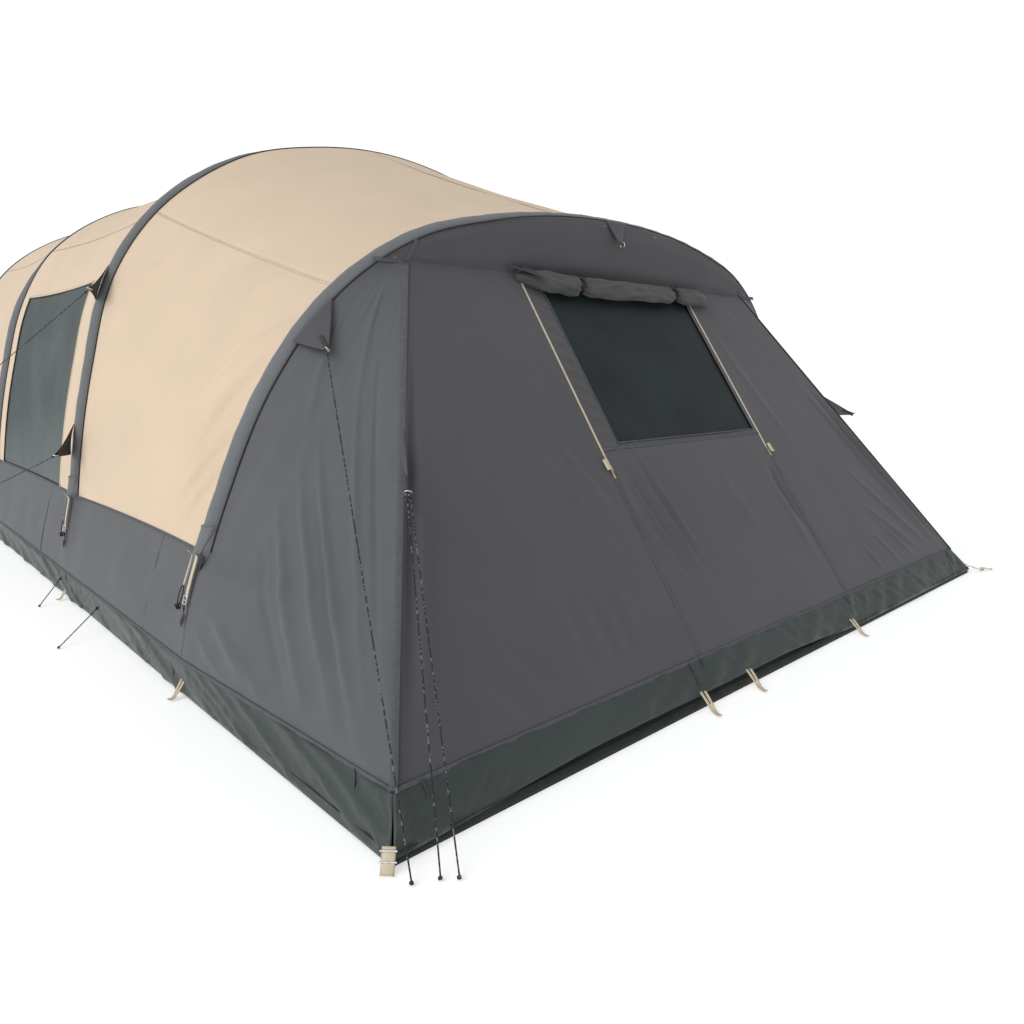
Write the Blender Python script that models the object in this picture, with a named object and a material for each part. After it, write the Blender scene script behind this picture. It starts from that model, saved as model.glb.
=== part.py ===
"""Family tunnel tent held up by four inflatable arch beams.

X runs across the tent, +Y points to the front door and +Z is up.  The origin lies on the ground under
the middle of the footprint, and the groundsheet's underside is the plane z = 0.
"""
import math

import bmesh
import bpy
from mathutils import Vector

# ---- driving dimensions (metres) -------------------------------------------------------------------
LENGTH = 6.12                 # rear base edge to the front beam
HALF_WIDTH = 1.80             # half the footprint
FABRIC = 0.003                # thickness of every fabric panel
GAP = 0.0006                  # spacing between panels sewn edge to edge

SLEEVE_R = 0.042              # outer radius of a beam's sleeve
SLEEVE_WALL = 0.0015
BLADDER_R = 0.0390            # inflated inner tube
BLADDER_WALL = 0.0015
BEAM_SIDES = 10               # faces around a beam and rings along it
BEAM_STEPS = 30
BEAM_FOOT = 0.012             # height of a beam's foot above the ground
BLADDER_END = 0.55            # shares of one step by which the bladder, its air and its stem stop short
AIR_END = 0.57
STEM_END = 0.42

SKIRT_TOP = 0.120             # coated skirt
SKIRT_LOW = 0.007             # the skirt's hem clears the groundsheet's top by 4 mm
WALL_TOP = 0.470              # dark lower wall
ROOF_SEAM_DEG = 54.5          # polar angle of the seam between side and roof panel
REAR_SEAM_DEG = 46.5          # and where that seam meets the rear beam
BAY_SAG = 0.010               # share of the radius that a bay's fabric sags between its beams
SIDE_STEPS = 6                # rows of facets up a bay's side and over its roof
ROOF_STEPS = 13

GABLE_SEAM = 1.410            # height of the rear wall's cross seam
HIP_TOP_X = 1.040             # half the distance between the two hips at that seam
GABLE_RISE = 0.695            # horizontal run of the sloping rear wall per metre of height
WINDOW_SEAM_X = 0.530         # seams and zips each side of the rear window
WINDOW_BASE = 0.770           # height of the window panel's lower seam
ZIP_LOW = 0.700               # lower stop of the window's two zips
ROLL_LEFT = -0.560            # ends of the rolled window cover, and its radius at each
ROLL_RIGHT = 0.660
ROLL_R_LEFT = 0.038
ROLL_R_RIGHT = 0.026

DOOR_HALF = 0.650
DOOR_SILL = 0.135
DOOR_HEAD = 1.800

STEM_R = 0.012                # valve stem at the bladder's lower left end
STEM_BORE_R = 0.005
CAP_R = 0.0165
CAP_INNER_R = 0.0130
CAP_SKIRT = 0.010             # length of the cap that covers the stem
CAP_THICK = 0.006

CORD_R = 0.0020
FLAP_TIP = 0.005              # half the width of a guy flap's tip

REAR_Y = -LENGTH / 2
PANEL_OUT = 0.012             # fabric joins a sleeve this far outside the beam's centreline
EDGE = SLEEVE_R + 0.006       # distance from a beam's plane to the panels beside it
WALL_OUT = SLEEVE_R + 0.006   # lower wall and skirt pass outside the beams
HIP_GAP = GAP * 8             # panels that meet at an angle along a hip stop this far short of it
FRONT_Y = REAR_Y + LENGTH + SLEEVE_R      # plane of the front wall
GABLE_UP = Vector((0.0, GABLE_RISE, 1.0)).normalized()      # up along the sloping rear wall
GABLE_OUT = Vector((0.0, -1.0, GABLE_RISE)).normalized()    # its outward normal

# Polar radii of a beam's centreline every eighth of a right angle, from its foot to its top.
REAR_RADII = (1.758, 1.757, 1.763, 1.796, 1.811, 1.776, 1.700, 1.648, 1.629)
MAIN_RADII = (1.758, 1.757, 1.811, 1.915, 2.072, 2.176, 2.216, 2.210, 2.212)

# name: (y of the foot, lean of the plane in y per metre of height, radii)
BEAMS = {
    "rear": (REAR_Y + 1.27, -0.174, REAR_RADII),
    "middle": (REAR_Y + 2.72, 0.0, MAIN_RADII),
    "third": (REAR_Y + 4.63, 0.0, MAIN_RADII),
    "front": (REAR_Y + LENGTH, 0.0, MAIN_RADII),
}
BAYS = {"rear_bay": ("rear", "middle"), "centre_bay": ("middle", "third"), "front_bay": ("third", "front")}

GREY = (0.115, 0.112, 0.115)
COLOURS = {
    "beige_fabric": ((0.62, 0.50, 0.37), 0.85, 0.0),
    "grey_fabric": (GREY, 0.85, 0.0),
    "skirt_fabric": ((0.045, 0.060, 0.055), 0.45, 0.0),
    "window_film": ((0.020, 0.028, 0.030), 0.35, 0.0),
    "sleeve_fabric": ((0.090, 0.090, 0.097), 0.80, 0.0),
    "bladder_film": ((0.55, 0.57, 0.60), 0.30, 0.0),
    "valve_plastic": ((0.03, 0.03, 0.03), 0.45, 0.0),
    "zip_metal": ((0.60, 0.55, 0.45), 0.35, 1.0),
    "guy_cord": ((0.02, 0.02, 0.02), 0.80, 0.0),
    "groundsheet_film": ((0.03, 0.035, 0.035), 0.60, 0.0),
}


# ---- shared helpers --------------------------------------------------------------------------------
def clear_scene():
    for obj in list(bpy.data.objects):
        bpy.data.objects.remove(obj, do_unlink=True)


def material(slot):
    if slot in bpy.data.materials:
        return bpy.data.materials[slot]
    colour, roughness, metallic = COLOURS[slot]
    mat = bpy.data.materials.new(slot)
    mat.use_nodes = True
    shader = mat.node_tree.nodes["Principled BSDF"]
    shader.inputs["Base Color"].default_value = (*colour, 1.0)
    shader.inputs["Roughness"].default_value = roughness
    shader.inputs["Metallic"].default_value = metallic
    return mat


def add_mesh(name, verts, faces, slot, origin=(0.0, 0.0, 0.0)):
    """Make an object from world coordinates, with its own origin and outward faces."""
    base = Vector(origin)
    mesh = bpy.data.meshes.new(name)
    mesh.from_pydata([Vector(v) - base for v in verts], [], faces)
    bm = bmesh.new()
    bm.from_mesh(mesh)
    bmesh.ops.recalc_face_normals(bm, faces=bm.faces)
    bm.to_mesh(mesh)
    bm.free()
    mesh.shade_smooth()
    mesh.set_sharp_from_angle(angle=math.radians(35))
    mesh.materials.append(material(slot))
    obj = bpy.data.objects.new(name, mesh)
    obj.location = base
    bpy.context.collection.objects.link(obj)
    return obj


def lerp(a, b, t):
    return a + (b - a) * t


def spaced(low, high, count):
    return [lerp(low, high, i / (count - 1)) for i in range(count)]


def grid_normals(rows):
    """Unit normals of a grid of points, all on the side away from the tent's middle."""
    middle = Vector((0.0, 0.0, 0.5))
    normals = []
    for i, row in enumerate(rows):
        line = []
        for j in range(len(row)):
            down = rows[min(i + 1, len(rows) - 1)][j] - rows[max(i - 1, 0)][j]
            along = row[min(j + 1, len(row) - 1)] - row[max(j - 1, 0)]
            line.append(down.cross(along).normalized())
        normals.append(line)
    i, j = len(rows) // 2, len(rows[0]) // 2
    if normals[i][j].dot(rows[i][j] - middle) < 0:
        normals = [[-n for n in line] for line in normals]
    return normals


def panel(name, rows, slot, lift=0.0, thickness=FABRIC, origin=(0.0, 0.0, 0.0)):
    """Closed solid of a fabric panel: the given grid is its outer face, moved outwards by lift."""
    normals = grid_normals(rows)
    count, width = len(rows), len(rows[0])
    outer = [rows[i][j] + normals[i][j] * lift for i in range(count) for j in range(width)]
    inner = [rows[i][j] + normals[i][j] * (lift - thickness) for i in range(count) for j in range(width)]
    size = count * width
    faces = []
    for i in range(count - 1):
        for j in range(width - 1):
            a = i * width + j
            quad = (a, a + 1, a + width + 1, a + width)
            faces.append(quad)
            faces.append(tuple(size + k for k in reversed(quad)))
    rim = list(range(width))
    rim += [i * width + width - 1 for i in range(1, count)]
    rim += [(count - 1) * width + j for j in range(width - 2, -1, -1)]
    rim += [i * width for i in range(count - 2, 0, -1)]
    for a, b in zip(rim, rim[1:] + rim[:1]):
        faces.append((a, b, size + b, size + a))
    return add_mesh(name, outer + inner, faces, slot, origin)


def ring_solid(name, rings, slot, closed_loop=False, origin=(0.0, 0.0, 0.0)):
    """Bridge equal rings of points; open ends are capped, a closed loop joins the last to the first."""
    sides = len(rings[0])
    verts = [p for ring in rings for p in ring]
    faces = []
    links = len(rings) if closed_loop else len(rings) - 1
    for i in range(links):
        k = (i + 1) % len(rings)
        for j in range(sides):
            n = (j + 1) % sides
            faces.append((i * sides + j, i * sides + n, k * sides + n, k * sides + j))
    if not closed_loop:
        faces.append(tuple(reversed(range(sides))))
        faces.append(tuple((len(rings) - 1) * sides + j for j in range(sides)))
    return add_mesh(name, verts, faces, slot, origin)


# ---- beams -----------------------------------------------------------------------------------------
def beam_radius(radii, angle):
    """Smooth, left-right symmetric radius: a cubic through the radii with slopes from their neighbours."""
    knots = list(radii) + list(radii[-2::-1])
    last = len(knots) - 1
    place = min(max(angle / math.pi * last, 0.0), float(last))
    k = min(int(place), last - 1)
    t = place - k
    p0, p3 = knots[max(k - 1, 0)], knots[min(k + 2, last)]
    p1, p2 = knots[k], knots[k + 1]
    m1, m2 = (p2 - p0) / 2, (p3 - p1) / 2
    return ((2 * t ** 3 - 3 * t ** 2 + 1) * p1 + (t ** 3 - 2 * t ** 2 + t) * m1
            + (3 * t ** 2 - 2 * t ** 3) * p2 + (t ** 3 - t ** 2) * m2)


def arch_point(beam, angle, out=0.0, shift_y=0.0):
    """Point of a beam's arch; the angle runs from 0 at the left foot to pi at the right foot."""
    y, lean, radii = BEAMS[beam]
    r = beam_radius(radii, angle) + out
    z = r * math.sin(angle)
    return Vector((-r * math.cos(angle), y + lean * z + shift_y, z))


def angle_at_height(beam, height, out=0.0):
    low, high = 0.0, math.pi / 2
    for _ in range(50):
        mid = (low + high) / 2
        if arch_point(beam, mid, out).z < height:
            low = mid
        else:
            high = mid
    return high


def arch_x(beam, height, out=0.0):
    return -arch_point(beam, angle_at_height(beam, height, out), out).x


def beam_frames(beam):
    """Centre, in-plane outward normal and plane normal at even steps along a beam."""
    start = angle_at_height(beam, BEAM_FOOT)
    plane = Vector((0.0, 1.0, -BEAMS[beam][1])).normalized()
    frames = []
    for angle in spaced(start, math.pi - start, BEAM_STEPS + 1):
        centre = arch_point(beam, angle)
        ahead = arch_point(beam, angle + 0.01) - arch_point(beam, angle - 0.01)
        outward = plane.cross(ahead).normalized()
        if outward.dot(centre) < 0:
            outward = -outward
        frames.append((centre, outward, plane))
    return frames


def beam_ring(frame, radius):
    centre, outward, plane = frame
    ring = []
    for k in range(BEAM_SIDES):
        turn = 2 * math.pi * k / BEAM_SIDES
        ring.append(centre + outward * radius * math.cos(turn) + plane * radius * math.sin(turn))
    return ring


def ring_between(frames, radius, share):
    """Ring of any radius at a share of the first step, counted from the beam's left foot."""
    first, second = beam_ring(frames[0], radius), beam_ring(frames[1], radius)
    return [p.lerp(q, share) for p, q in zip(first, second)]


def lathe(name, place, direction, profile, slot, sides=16):
    """Turn a closed profile of (radius, distance) points about a line; radius 0 ends are closed."""
    side = direction.cross(Vector((0.0, 1.0, 0.0))).normalized()
    across = direction.cross(side).normalized()
    verts = []
    faces = []
    loops = []
    for radius, distance in profile:
        if radius == 0:
            loops.append([len(verts)])
            verts.append(place + direction * distance)
            continue
        loops.append(list(range(len(verts), len(verts) + sides)))
        for k in range(sides):
            turn = 2 * math.pi * k / sides
            spoke = side * math.cos(turn) + across * math.sin(turn)
            verts.append(place + direction * distance + spoke * radius)
    for first, second in zip(loops, loops[1:]):
        for k in range(sides):
            n = (k + 1) % sides
            quad = [first[k % len(first)], first[n % len(first)]]
            quad += [second[n % len(second)], second[k % len(second)]]
            faces.append(tuple(dict.fromkeys(quad)))
    return add_mesh(name, verts, faces, slot, origin=place)


def make_beam(beam):
    """Open-ended sleeve, hollow bladder whose valve stem points down its left leg, and valve cap."""
    frames = beam_frames(beam)
    rings = [beam_ring(f, SLEEVE_R) for f in frames]
    rings += [beam_ring(f, SLEEVE_R - SLEEVE_WALL) for f in reversed(frames)]
    ring_solid(f"sleeve_{beam}", rings, "sleeve_fabric", closed_loop=True)

    back = list(reversed(frames))
    outer = [beam_ring(f, BLADDER_R) for f in frames[1:-1]]
    air = [beam_ring(f, BLADDER_R - BLADDER_WALL) for f in back[1:-1]]
    rings = [ring_between(back, BLADDER_R - BLADDER_WALL, AIR_END)] + air
    rings += [ring_between(frames, r, share) for r, share in (
        (BLADDER_R - BLADDER_WALL, AIR_END), (STEM_BORE_R, AIR_END), (STEM_BORE_R, STEM_END),
        (STEM_R, STEM_END), (STEM_R, BLADDER_END), (BLADDER_R, BLADDER_END))]
    rings += outer + [ring_between(back, BLADDER_R, BLADDER_END)]
    ring_solid(f"bladder_{beam}", rings, "bladder_film")

    down = (frames[0][0] - frames[1][0]).normalized()
    place = frames[0][0].lerp(frames[1][0], STEM_END)
    lathe(f"valve_cap_{beam}", place, down,
          [(0, GAP), (CAP_INNER_R, GAP), (CAP_INNER_R, -CAP_SKIRT), (CAP_R, -CAP_SKIRT),
           (CAP_R, CAP_THICK - 0.002), (CAP_R - 0.002, CAP_THICK), (0, CAP_THICK)], "valve_plastic")


# ---- bays between two beams ------------------------------------------------------------------------
def bay_rows(near, far, near_angles, far_angles, steps):
    """Fabric stretched between two beams, from one pair of angles to the other, sagging in between."""
    columns = [GAP * 4, 0.25, 0.5, 0.75, 1 - GAP * 4]
    rows = []
    for i in range(steps + 1):
        t = i / steps
        a = arch_point(near, lerp(*near_angles, t), PANEL_OUT, EDGE)
        b = arch_point(far, lerp(*far_angles, t), PANEL_OUT, -EDGE)
        row = []
        for u in columns:
            p = a.lerp(b, u)
            sag = 1 - BAY_SAG * 4 * u * (1 - u)
            row.append(Vector((p.x * sag, p.y, p.z * sag)))
        rows.append(row)
    return rows


def make_bay(bay, near, far):
    seam = math.radians(ROOF_SEAM_DEG)
    near_seam = math.radians(REAR_SEAM_DEG) if near == "rear" else seam
    trim = GAP / 2 / MAIN_RADII[0]
    window = bay == "centre_bay"
    low_near = angle_at_height(near, WALL_TOP + FABRIC, PANEL_OUT)
    low_far = angle_at_height(far, WALL_TOP + FABRIC, PANEL_OUT)
    side_name = "side_window" if window else f"side_{bay}"
    slot = "window_film" if window else "beige_fabric"
    left = (low_near, near_seam - trim), (low_far, seam - trim)
    panel(f"{side_name}_left", bay_rows(near, far, left[0], left[1], SIDE_STEPS), slot)
    right = [(math.pi - low, math.pi - high) for low, high in left]
    panel(f"{side_name}_right", bay_rows(near, far, right[0], right[1], SIDE_STEPS), slot)
    top = [(edge + trim, math.pi - edge - trim) for edge in (near_seam, seam)]
    panel(f"roof_{bay}", bay_rows(near, far, top[0], top[1], ROOF_STEPS), "beige_fabric")


# ---- lower wall, skirt and groundsheet -------------------------------------------------------------
def wall_columns():
    """Beams and y offsets that the long side walls pass over, from the rear to the front."""
    columns = [("rear", -EDGE - GAP), ("rear", EDGE)]
    for beam in ("middle", "third"):
        columns += [(beam, -EDGE), (beam, EDGE)]
    columns += [("front", -EDGE), ("front", SLEEVE_R)]
    return columns


def wall_point(beam, shift, height, side):
    p = arch_point(beam, angle_at_height(beam, height, WALL_OUT), WALL_OUT, shift)
    return Vector((side * abs(p.x), p.y, height))


def make_side(side, label):
    heights = spaced(SKIRT_TOP + GAP, WALL_TOP, 4)
    rows = [[wall_point(beam, shift, z, side) for beam, shift in wall_columns()] for z in heights]
    panel(f"wall_{label}", rows, "grey_fabric")
    rows = []
    for z in (SKIRT_LOW, SKIRT_TOP / 2, SKIRT_TOP):
        row = [Vector((side * hip_x(z), REAR_Y + GABLE_RISE * z + HIP_GAP, z))]
        row += [wall_point(beam, shift, z, side) for beam, shift in wall_columns()]
        rows.append(row)
    panel(f"skirt_{label}", rows, "skirt_fabric")


def make_groundsheet():
    x, y = HALF_WIDTH - 0.006, LENGTH / 2
    rows = [[Vector((px, py, 0.0)) for px in (-x, x)] for py in (-y, y)]
    verts = [p + Vector((0, 0, z)) for z in (0.0, FABRIC) for row in rows for p in row]
    faces = [(0, 1, 3, 2), (4, 6, 7, 5), (0, 4, 5, 1), (1, 5, 7, 3), (3, 7, 6, 2), (2, 6, 4, 0)]
    add_mesh("groundsheet", verts, faces, "groundsheet_film")


# ---- sloping rear wall -----------------------------------------------------------------------------
def hip_x(height):
    return lerp(HALF_WIDTH, HIP_TOP_X, height / GABLE_SEAM)


def gable_point(x, height):
    return Vector((x, REAR_Y + GABLE_RISE * height, height))


def gable_panel(name, slot, low, high, left, right, rows=3, columns=3):
    """Panel of the rear wall between two heights; left and right give x at a height."""
    grid = []
    for z in spaced(low, high, rows):
        grid.append([gable_point(x, z) for x in spaced(left(z), right(z), columns)])
    return panel(name, grid, slot)


def make_rear_wall():
    seam = WINDOW_SEAM_X
    low, high = SKIRT_TOP + GAP, GABLE_SEAM - GAP
    gable_panel("skirt_rear", "skirt_fabric", SKIRT_LOW, SKIRT_TOP,
                lambda z: -hip_x(z) + HIP_GAP, lambda z: hip_x(z) - HIP_GAP)
    gable_panel("rear_panel_left", "grey_fabric", low, high, lambda z: -hip_x(z) + HIP_GAP,
                lambda z: -seam - GAP)
    gable_panel("rear_panel_right", "grey_fabric", low, high, lambda z: seam + GAP,
                lambda z: hip_x(z) - HIP_GAP)
    gable_panel("rear_panel_centre", "grey_fabric", low, WINDOW_BASE - GAP, lambda z: -seam, lambda z: seam)
    gable_panel("rear_window", "window_film", WINDOW_BASE, high, lambda z: -seam, lambda z: seam)
    make_rear_band()
    for side, label in ((-1, "left"), (1, "right")):
        make_corner(side, label)
        make_zip_slider(side, label)
    make_window_roll()


def make_rear_band():
    """Upright band between the cross seam and the rear beam."""
    start = angle_at_height("rear", GABLE_SEAM + GAP * 10)
    rows = []
    for angle in spaced(start, math.pi - start, 17):
        top = arch_point("rear", angle, 0.0, -EDGE)
        foot_y = arch_point("rear", angle_at_height("rear", GABLE_SEAM), 0.0, -EDGE).y
        foot = Vector((top.x, foot_y, GABLE_SEAM + GAP * 2))
        rows.append([foot, foot.lerp(top, 0.5), top])
    panel("rear_band", rows, "grey_fabric")


def make_corner(side, label):
    """Wall between a hip and the rear beam's leg, in level rows."""
    rows = []
    for z in spaced(SKIRT_TOP + GAP, GABLE_SEAM - GAP * 4, 12):
        hip = Vector((side * hip_x(z), REAR_Y + GABLE_RISE * z + HIP_GAP, z))
        leg = arch_point("rear", angle_at_height("rear", z, PANEL_OUT), PANEL_OUT, -EDGE)
        leg = Vector((side * abs(leg.x), leg.y - GAP * 4, z))
        rows.append([hip.lerp(leg, u) for u in (0.0, 0.33, 0.67, 1.0)])
    panel(f"corner_panel_{label}", rows, "grey_fabric")


def make_window_roll():
    """Window cover rolled up under the cross seam, thicker at its left end."""
    rings = []
    sides = 10
    for x in spaced(ROLL_LEFT, ROLL_RIGHT, 10):
        radius = lerp(ROLL_R_LEFT, ROLL_R_RIGHT, (x - ROLL_LEFT) / (ROLL_RIGHT - ROLL_LEFT))
        centre = gable_point(x, GABLE_SEAM - 0.050) + GABLE_OUT * (radius + 0.004)
        ring = []
        for k in range(sides):
            turn = 2 * math.pi * k / sides
            ring.append(centre + GABLE_UP * radius * math.cos(turn) + GABLE_OUT * radius * math.sin(turn))
        rings.append(ring)
    ring_solid("window_cover_roll", rings, "grey_fabric")


def slider_solid(name, place, up, out):
    """Flat zip slider with a pull tab hanging below it."""
    body, tab, tab_low, thick = 0.006, 0.002, -0.034, 0.004
    outline = [(-tab, tab_low), (tab, tab_low), (tab, -body - 0.002), (body, -body), (body, body),
               (-body, body), (-body, -body), (-tab, -body - 0.002)]
    rings = []
    for depth in (0.0, thick):
        rings.append([place + Vector((x, 0, 0)) + up * z + out * depth for x, z in outline])
    ring_solid(name, rings, "zip_metal", origin=place)


def make_zip_slider(side, label):
    """Slider at the lower stop of a window zip."""
    place = gable_point(side * WINDOW_SEAM_X, ZIP_LOW) + GABLE_OUT * 0.002
    slider_solid(f"window_zip_slider_{label}", place, GABLE_UP, GABLE_OUT)


# ---- front wall and door ---------------------------------------------------------------------------
def front_edge(z):
    """Half the width of the front wall at a height."""
    return arch_x("front", z, -SLEEVE_R - 0.001)


def door_gap(z):
    """Half the width of the opening that the door fills."""
    return DOOR_HALF + GAP * 4


def front_panel(name, low, high, left, right, slot, count=6, origin=(0.0, 0.0, 0.0)):
    grid = []
    for z in spaced(low, high, count):
        grid.append([Vector((x, FRONT_Y, z)) for x in spaced(left(z), right(z), 3)])
    return panel(name, grid, slot, origin=origin)


def make_front():
    low = SKIRT_TOP + GAP
    front_panel("front_panel_left", low, DOOR_HEAD, lambda z: -front_edge(z), lambda z: -door_gap(z),
                "beige_fabric", 10)
    front_panel("front_panel_right", low, DOOR_HEAD, door_gap, front_edge, "beige_fabric", 10)
    front_panel("skirt_front", SKIRT_LOW, SKIRT_TOP, lambda z: -front_edge(z), front_edge, "skirt_fabric", 2)
    start = angle_at_height("front", DOOR_HEAD + 0.03, -SLEEVE_R)
    rows = []
    for angle in spaced(start, math.pi - start, 13):
        top = arch_point("front", angle, -SLEEVE_R - 0.001)
        top.y = FRONT_Y
        foot = Vector((top.x, FRONT_Y, DOOR_HEAD + GAP * 4))
        rows.append([foot, foot.lerp(top, 0.5), top])
    panel("front_panel_top", rows, "beige_fabric")
    half = DOOR_HALF - GAP * 6
    front_panel("door", DOOR_SILL, DOOR_HEAD - GAP * 6, lambda z: -half, lambda z: half, "grey_fabric", 2,
                origin=(-DOOR_HALF, FRONT_Y, DOOR_SILL))
    place = Vector((DOOR_HALF + 0.012, FRONT_Y + 0.001, DOOR_SILL + 0.060))
    slider_solid("door_zip_slider", place, Vector((0, 0, 1)), Vector((0, 1, 0)))


# ---- guy lines and the flaps they pull on ----------------------------------------------------------
def local(x, y, z):
    """Point given with y from the rear base edge."""
    return Vector((x, REAR_Y + y, z))


def beam_skin(beam, height, side=-1, out=SLEEVE_R + 0.014, shift_y=0.0):
    """Point just outside a beam's sleeve at a height."""
    p = arch_point(beam, angle_at_height(beam, height), out, shift_y)
    return Vector((side * abs(p.x), p.y, p.z))


def hip_skin(height, side):
    """Point just outside a hip of the rear wall."""
    return Vector((side * (hip_x(height) + 0.008), REAR_Y + GABLE_RISE * height - 0.006, height))


RIDGE = BEAMS["rear"][0] + BEAMS["rear"][1] * REAR_RADII[-1]     # y and z of the rear beam's top
RIDGE_TOP = REAR_RADII[-1] + SLEEVE_R

# name: two base corners and the tip
GUY_FLAPS = {
    "guy_flap_arch": (beam_skin("rear", 1.28, out=0.036, shift_y=-0.050),
                      beam_skin("rear", 1.14, out=0.046, shift_y=-0.046), local(-1.385, 0.925, 1.120)),
    "guy_flap_corner_left": (hip_skin(0.92, -1), hip_skin(0.80, -1), local(-1.410, 0.469, 0.728)),
    "guy_flap_corner_right": (hip_skin(0.92, 1), hip_skin(0.80, 1), local(1.450, 0.490, 0.800)),
    "guy_flap_ridge": (Vector((-0.060, RIDGE - 0.050, RIDGE_TOP - 0.016)),
                       Vector((0.060, RIDGE - 0.050, RIDGE_TOP - 0.016)),
                       Vector((0.000, RIDGE - 0.085, RIDGE_TOP - 0.105))),
    "guy_flap_middle_high": (beam_skin("middle", 1.52), beam_skin("middle", 1.36),
                             local(-1.600, 2.610, 1.400)),
    "guy_flap_middle_low": (beam_skin("middle", 0.80), beam_skin("middle", 0.66),
                            local(-1.800, 2.620, 0.675)),
}

# name: (where it leaves the tent, its end on the ground)
GUY_LINES = {
    "guy_line_arch": (local(-1.390, 0.916, 1.112), local(-1.800, -0.075, 0.006)),
    "guy_line_corner_a": (local(-1.419, 0.459, 0.718), local(-1.746, -0.103, 0.006)),
    "guy_line_corner_b": (local(-1.409, 0.459, 0.718), local(-1.715, -0.128, 0.006)),
    "guy_line_middle_high": (local(-1.608, 2.618, 1.392), local(-2.960, 4.100, 0.006)),
    "guy_line_middle_low": (local(-1.806, 2.630, 0.668), local(-2.600, 4.250, 0.006)),
    "guy_line_side_a": (local(-1.815, 2.720, 0.095), local(-1.940, 2.600, 0.006)),
    "guy_line_side_b": (local(-1.815, 2.110, 0.095), local(-2.005, 1.958, 0.006)),
}


def make_guy_flap(name, first, second, tip):
    """Triangular flap of doubled fabric with a narrow tip."""
    half = (second - first).normalized() * FLAP_TIP
    panel(name, [[first, second], [tip - half, tip + half]], "grey_fabric")


def make_guy_line(name, start, end):
    """Taut line with only a slight sag, as a round cord."""
    curve = bpy.data.curves.new(name, "CURVE")
    curve.dimensions = "3D"
    curve.bevel_depth = CORD_R
    curve.bevel_resolution = 2
    curve.use_fill_caps = True
    spline = curve.splines.new("POLY")
    count = 12
    spline.points.add(count - 1)
    sag = 0.004 * (end - start).length
    for i in range(count):
        t = i / (count - 1)
        p = start.lerp(end, t) - Vector((0, 0, sag * 4 * t * (1 - t)))
        spline.points[i].co = (*p, 1.0)
    curve.materials.append(material("guy_cord"))
    obj = bpy.data.objects.new(name, curve)
    bpy.context.collection.objects.link(obj)


def main():
    clear_scene()
    make_groundsheet()
    for beam in BEAMS:
        make_beam(beam)
    for bay, (near, far) in BAYS.items():
        make_bay(bay, near, far)
    make_side(-1, "left")
    make_side(1, "right")
    make_rear_wall()
    make_front()
    for name, corners in GUY_FLAPS.items():
        make_guy_flap(name, *corners)
    for name, (start, end) in GUY_LINES.items():
        make_guy_line(name, start, end)


main()
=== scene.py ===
import math

import bpy
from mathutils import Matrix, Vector, noise


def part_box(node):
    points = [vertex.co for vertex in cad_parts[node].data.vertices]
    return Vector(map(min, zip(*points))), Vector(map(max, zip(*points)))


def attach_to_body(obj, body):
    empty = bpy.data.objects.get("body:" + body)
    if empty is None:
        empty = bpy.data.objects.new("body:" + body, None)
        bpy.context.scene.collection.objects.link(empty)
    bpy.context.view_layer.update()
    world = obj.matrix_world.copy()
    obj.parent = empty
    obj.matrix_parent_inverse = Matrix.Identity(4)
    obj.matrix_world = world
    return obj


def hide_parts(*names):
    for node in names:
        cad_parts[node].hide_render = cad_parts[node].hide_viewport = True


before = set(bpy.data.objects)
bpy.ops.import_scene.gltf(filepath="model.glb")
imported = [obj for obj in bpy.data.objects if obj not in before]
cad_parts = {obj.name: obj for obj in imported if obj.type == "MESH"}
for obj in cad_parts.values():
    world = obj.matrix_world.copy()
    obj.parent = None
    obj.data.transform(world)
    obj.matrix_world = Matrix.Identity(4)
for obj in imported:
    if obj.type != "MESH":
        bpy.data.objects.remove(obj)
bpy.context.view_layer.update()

# Looks of a family tunnel tent on inflatable arch beams.  Metres, +Z up, +Y towards the front door.

# ---- measures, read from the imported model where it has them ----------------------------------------
SLEEVE_R = 0.042
# Polar radii of a beam's centreline every eighth of a right angle, from its foot to its top.
REAR_RADII = (1.758, 1.757, 1.763, 1.796, 1.811, 1.776, 1.700, 1.648, 1.629)
MAIN_RADII = (1.758, 1.757, 1.811, 1.915, 2.072, 2.176, 2.216, 2.210, 2.212)
REAR_BEAM_Y = 1.27            # the rear beam's feet, ahead of the rear wall's foot
REAR_LEAN = -0.174            # how far it leans back for each metre of height
UPRIGHT = 0.05                # a beam less deep than this over its sleeve stands upright
PANEL_OUT = 0.012             # fabric meets a sleeve this far outside its centreline, low down


def beam_facts(name):
    """Foot's place along Y, lean and radii of one of the main beams."""
    low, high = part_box(f"sleeve_{name}")
    depth = (high[1] - low[1]) - 2 * SLEEVE_R
    lean = -depth / (MAIN_RADII[-1] + SLEEVE_R) if depth > UPRIGHT else 0.0
    return high[1] - SLEEVE_R, lean, MAIN_RADII


FLOOR_LOW, FLOOR_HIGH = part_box("groundsheet")
REAR_Y, FRONT_Y = FLOOR_LOW[1], FLOOR_HIGH[1]
BEAMS = {"rear": (REAR_Y + REAR_BEAM_Y, REAR_LEAN, REAR_RADII)}
for beam_name in ("middle", "third", "front"):
    BEAMS[beam_name] = beam_facts(beam_name)
HALF_WIDTH = FLOOR_HIGH[0] + 0.006
SKIRT_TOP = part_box("skirt_rear")[1][2]
WALL_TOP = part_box("wall_left")[1][2]
GABLE_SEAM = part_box("rear_panel_left")[1][2]
WINDOW_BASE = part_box("rear_window")[0][2]
WINDOW_SEAM_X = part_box("rear_window")[1][0]
GABLE_RISE = 0.695            # how far the rear wall slopes forward for each metre of height
HIP_TOP_X = 1.040             # half width of the rear wall at its top seam
ROOF_SEAM = math.radians(54.5)
REAR_SEAM = math.radians(46.5)
BAY_SAG = 0.010               # share by which fabric sinks halfway between two beams
DOOR_LOW, DOOR_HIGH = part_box("door")
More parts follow.
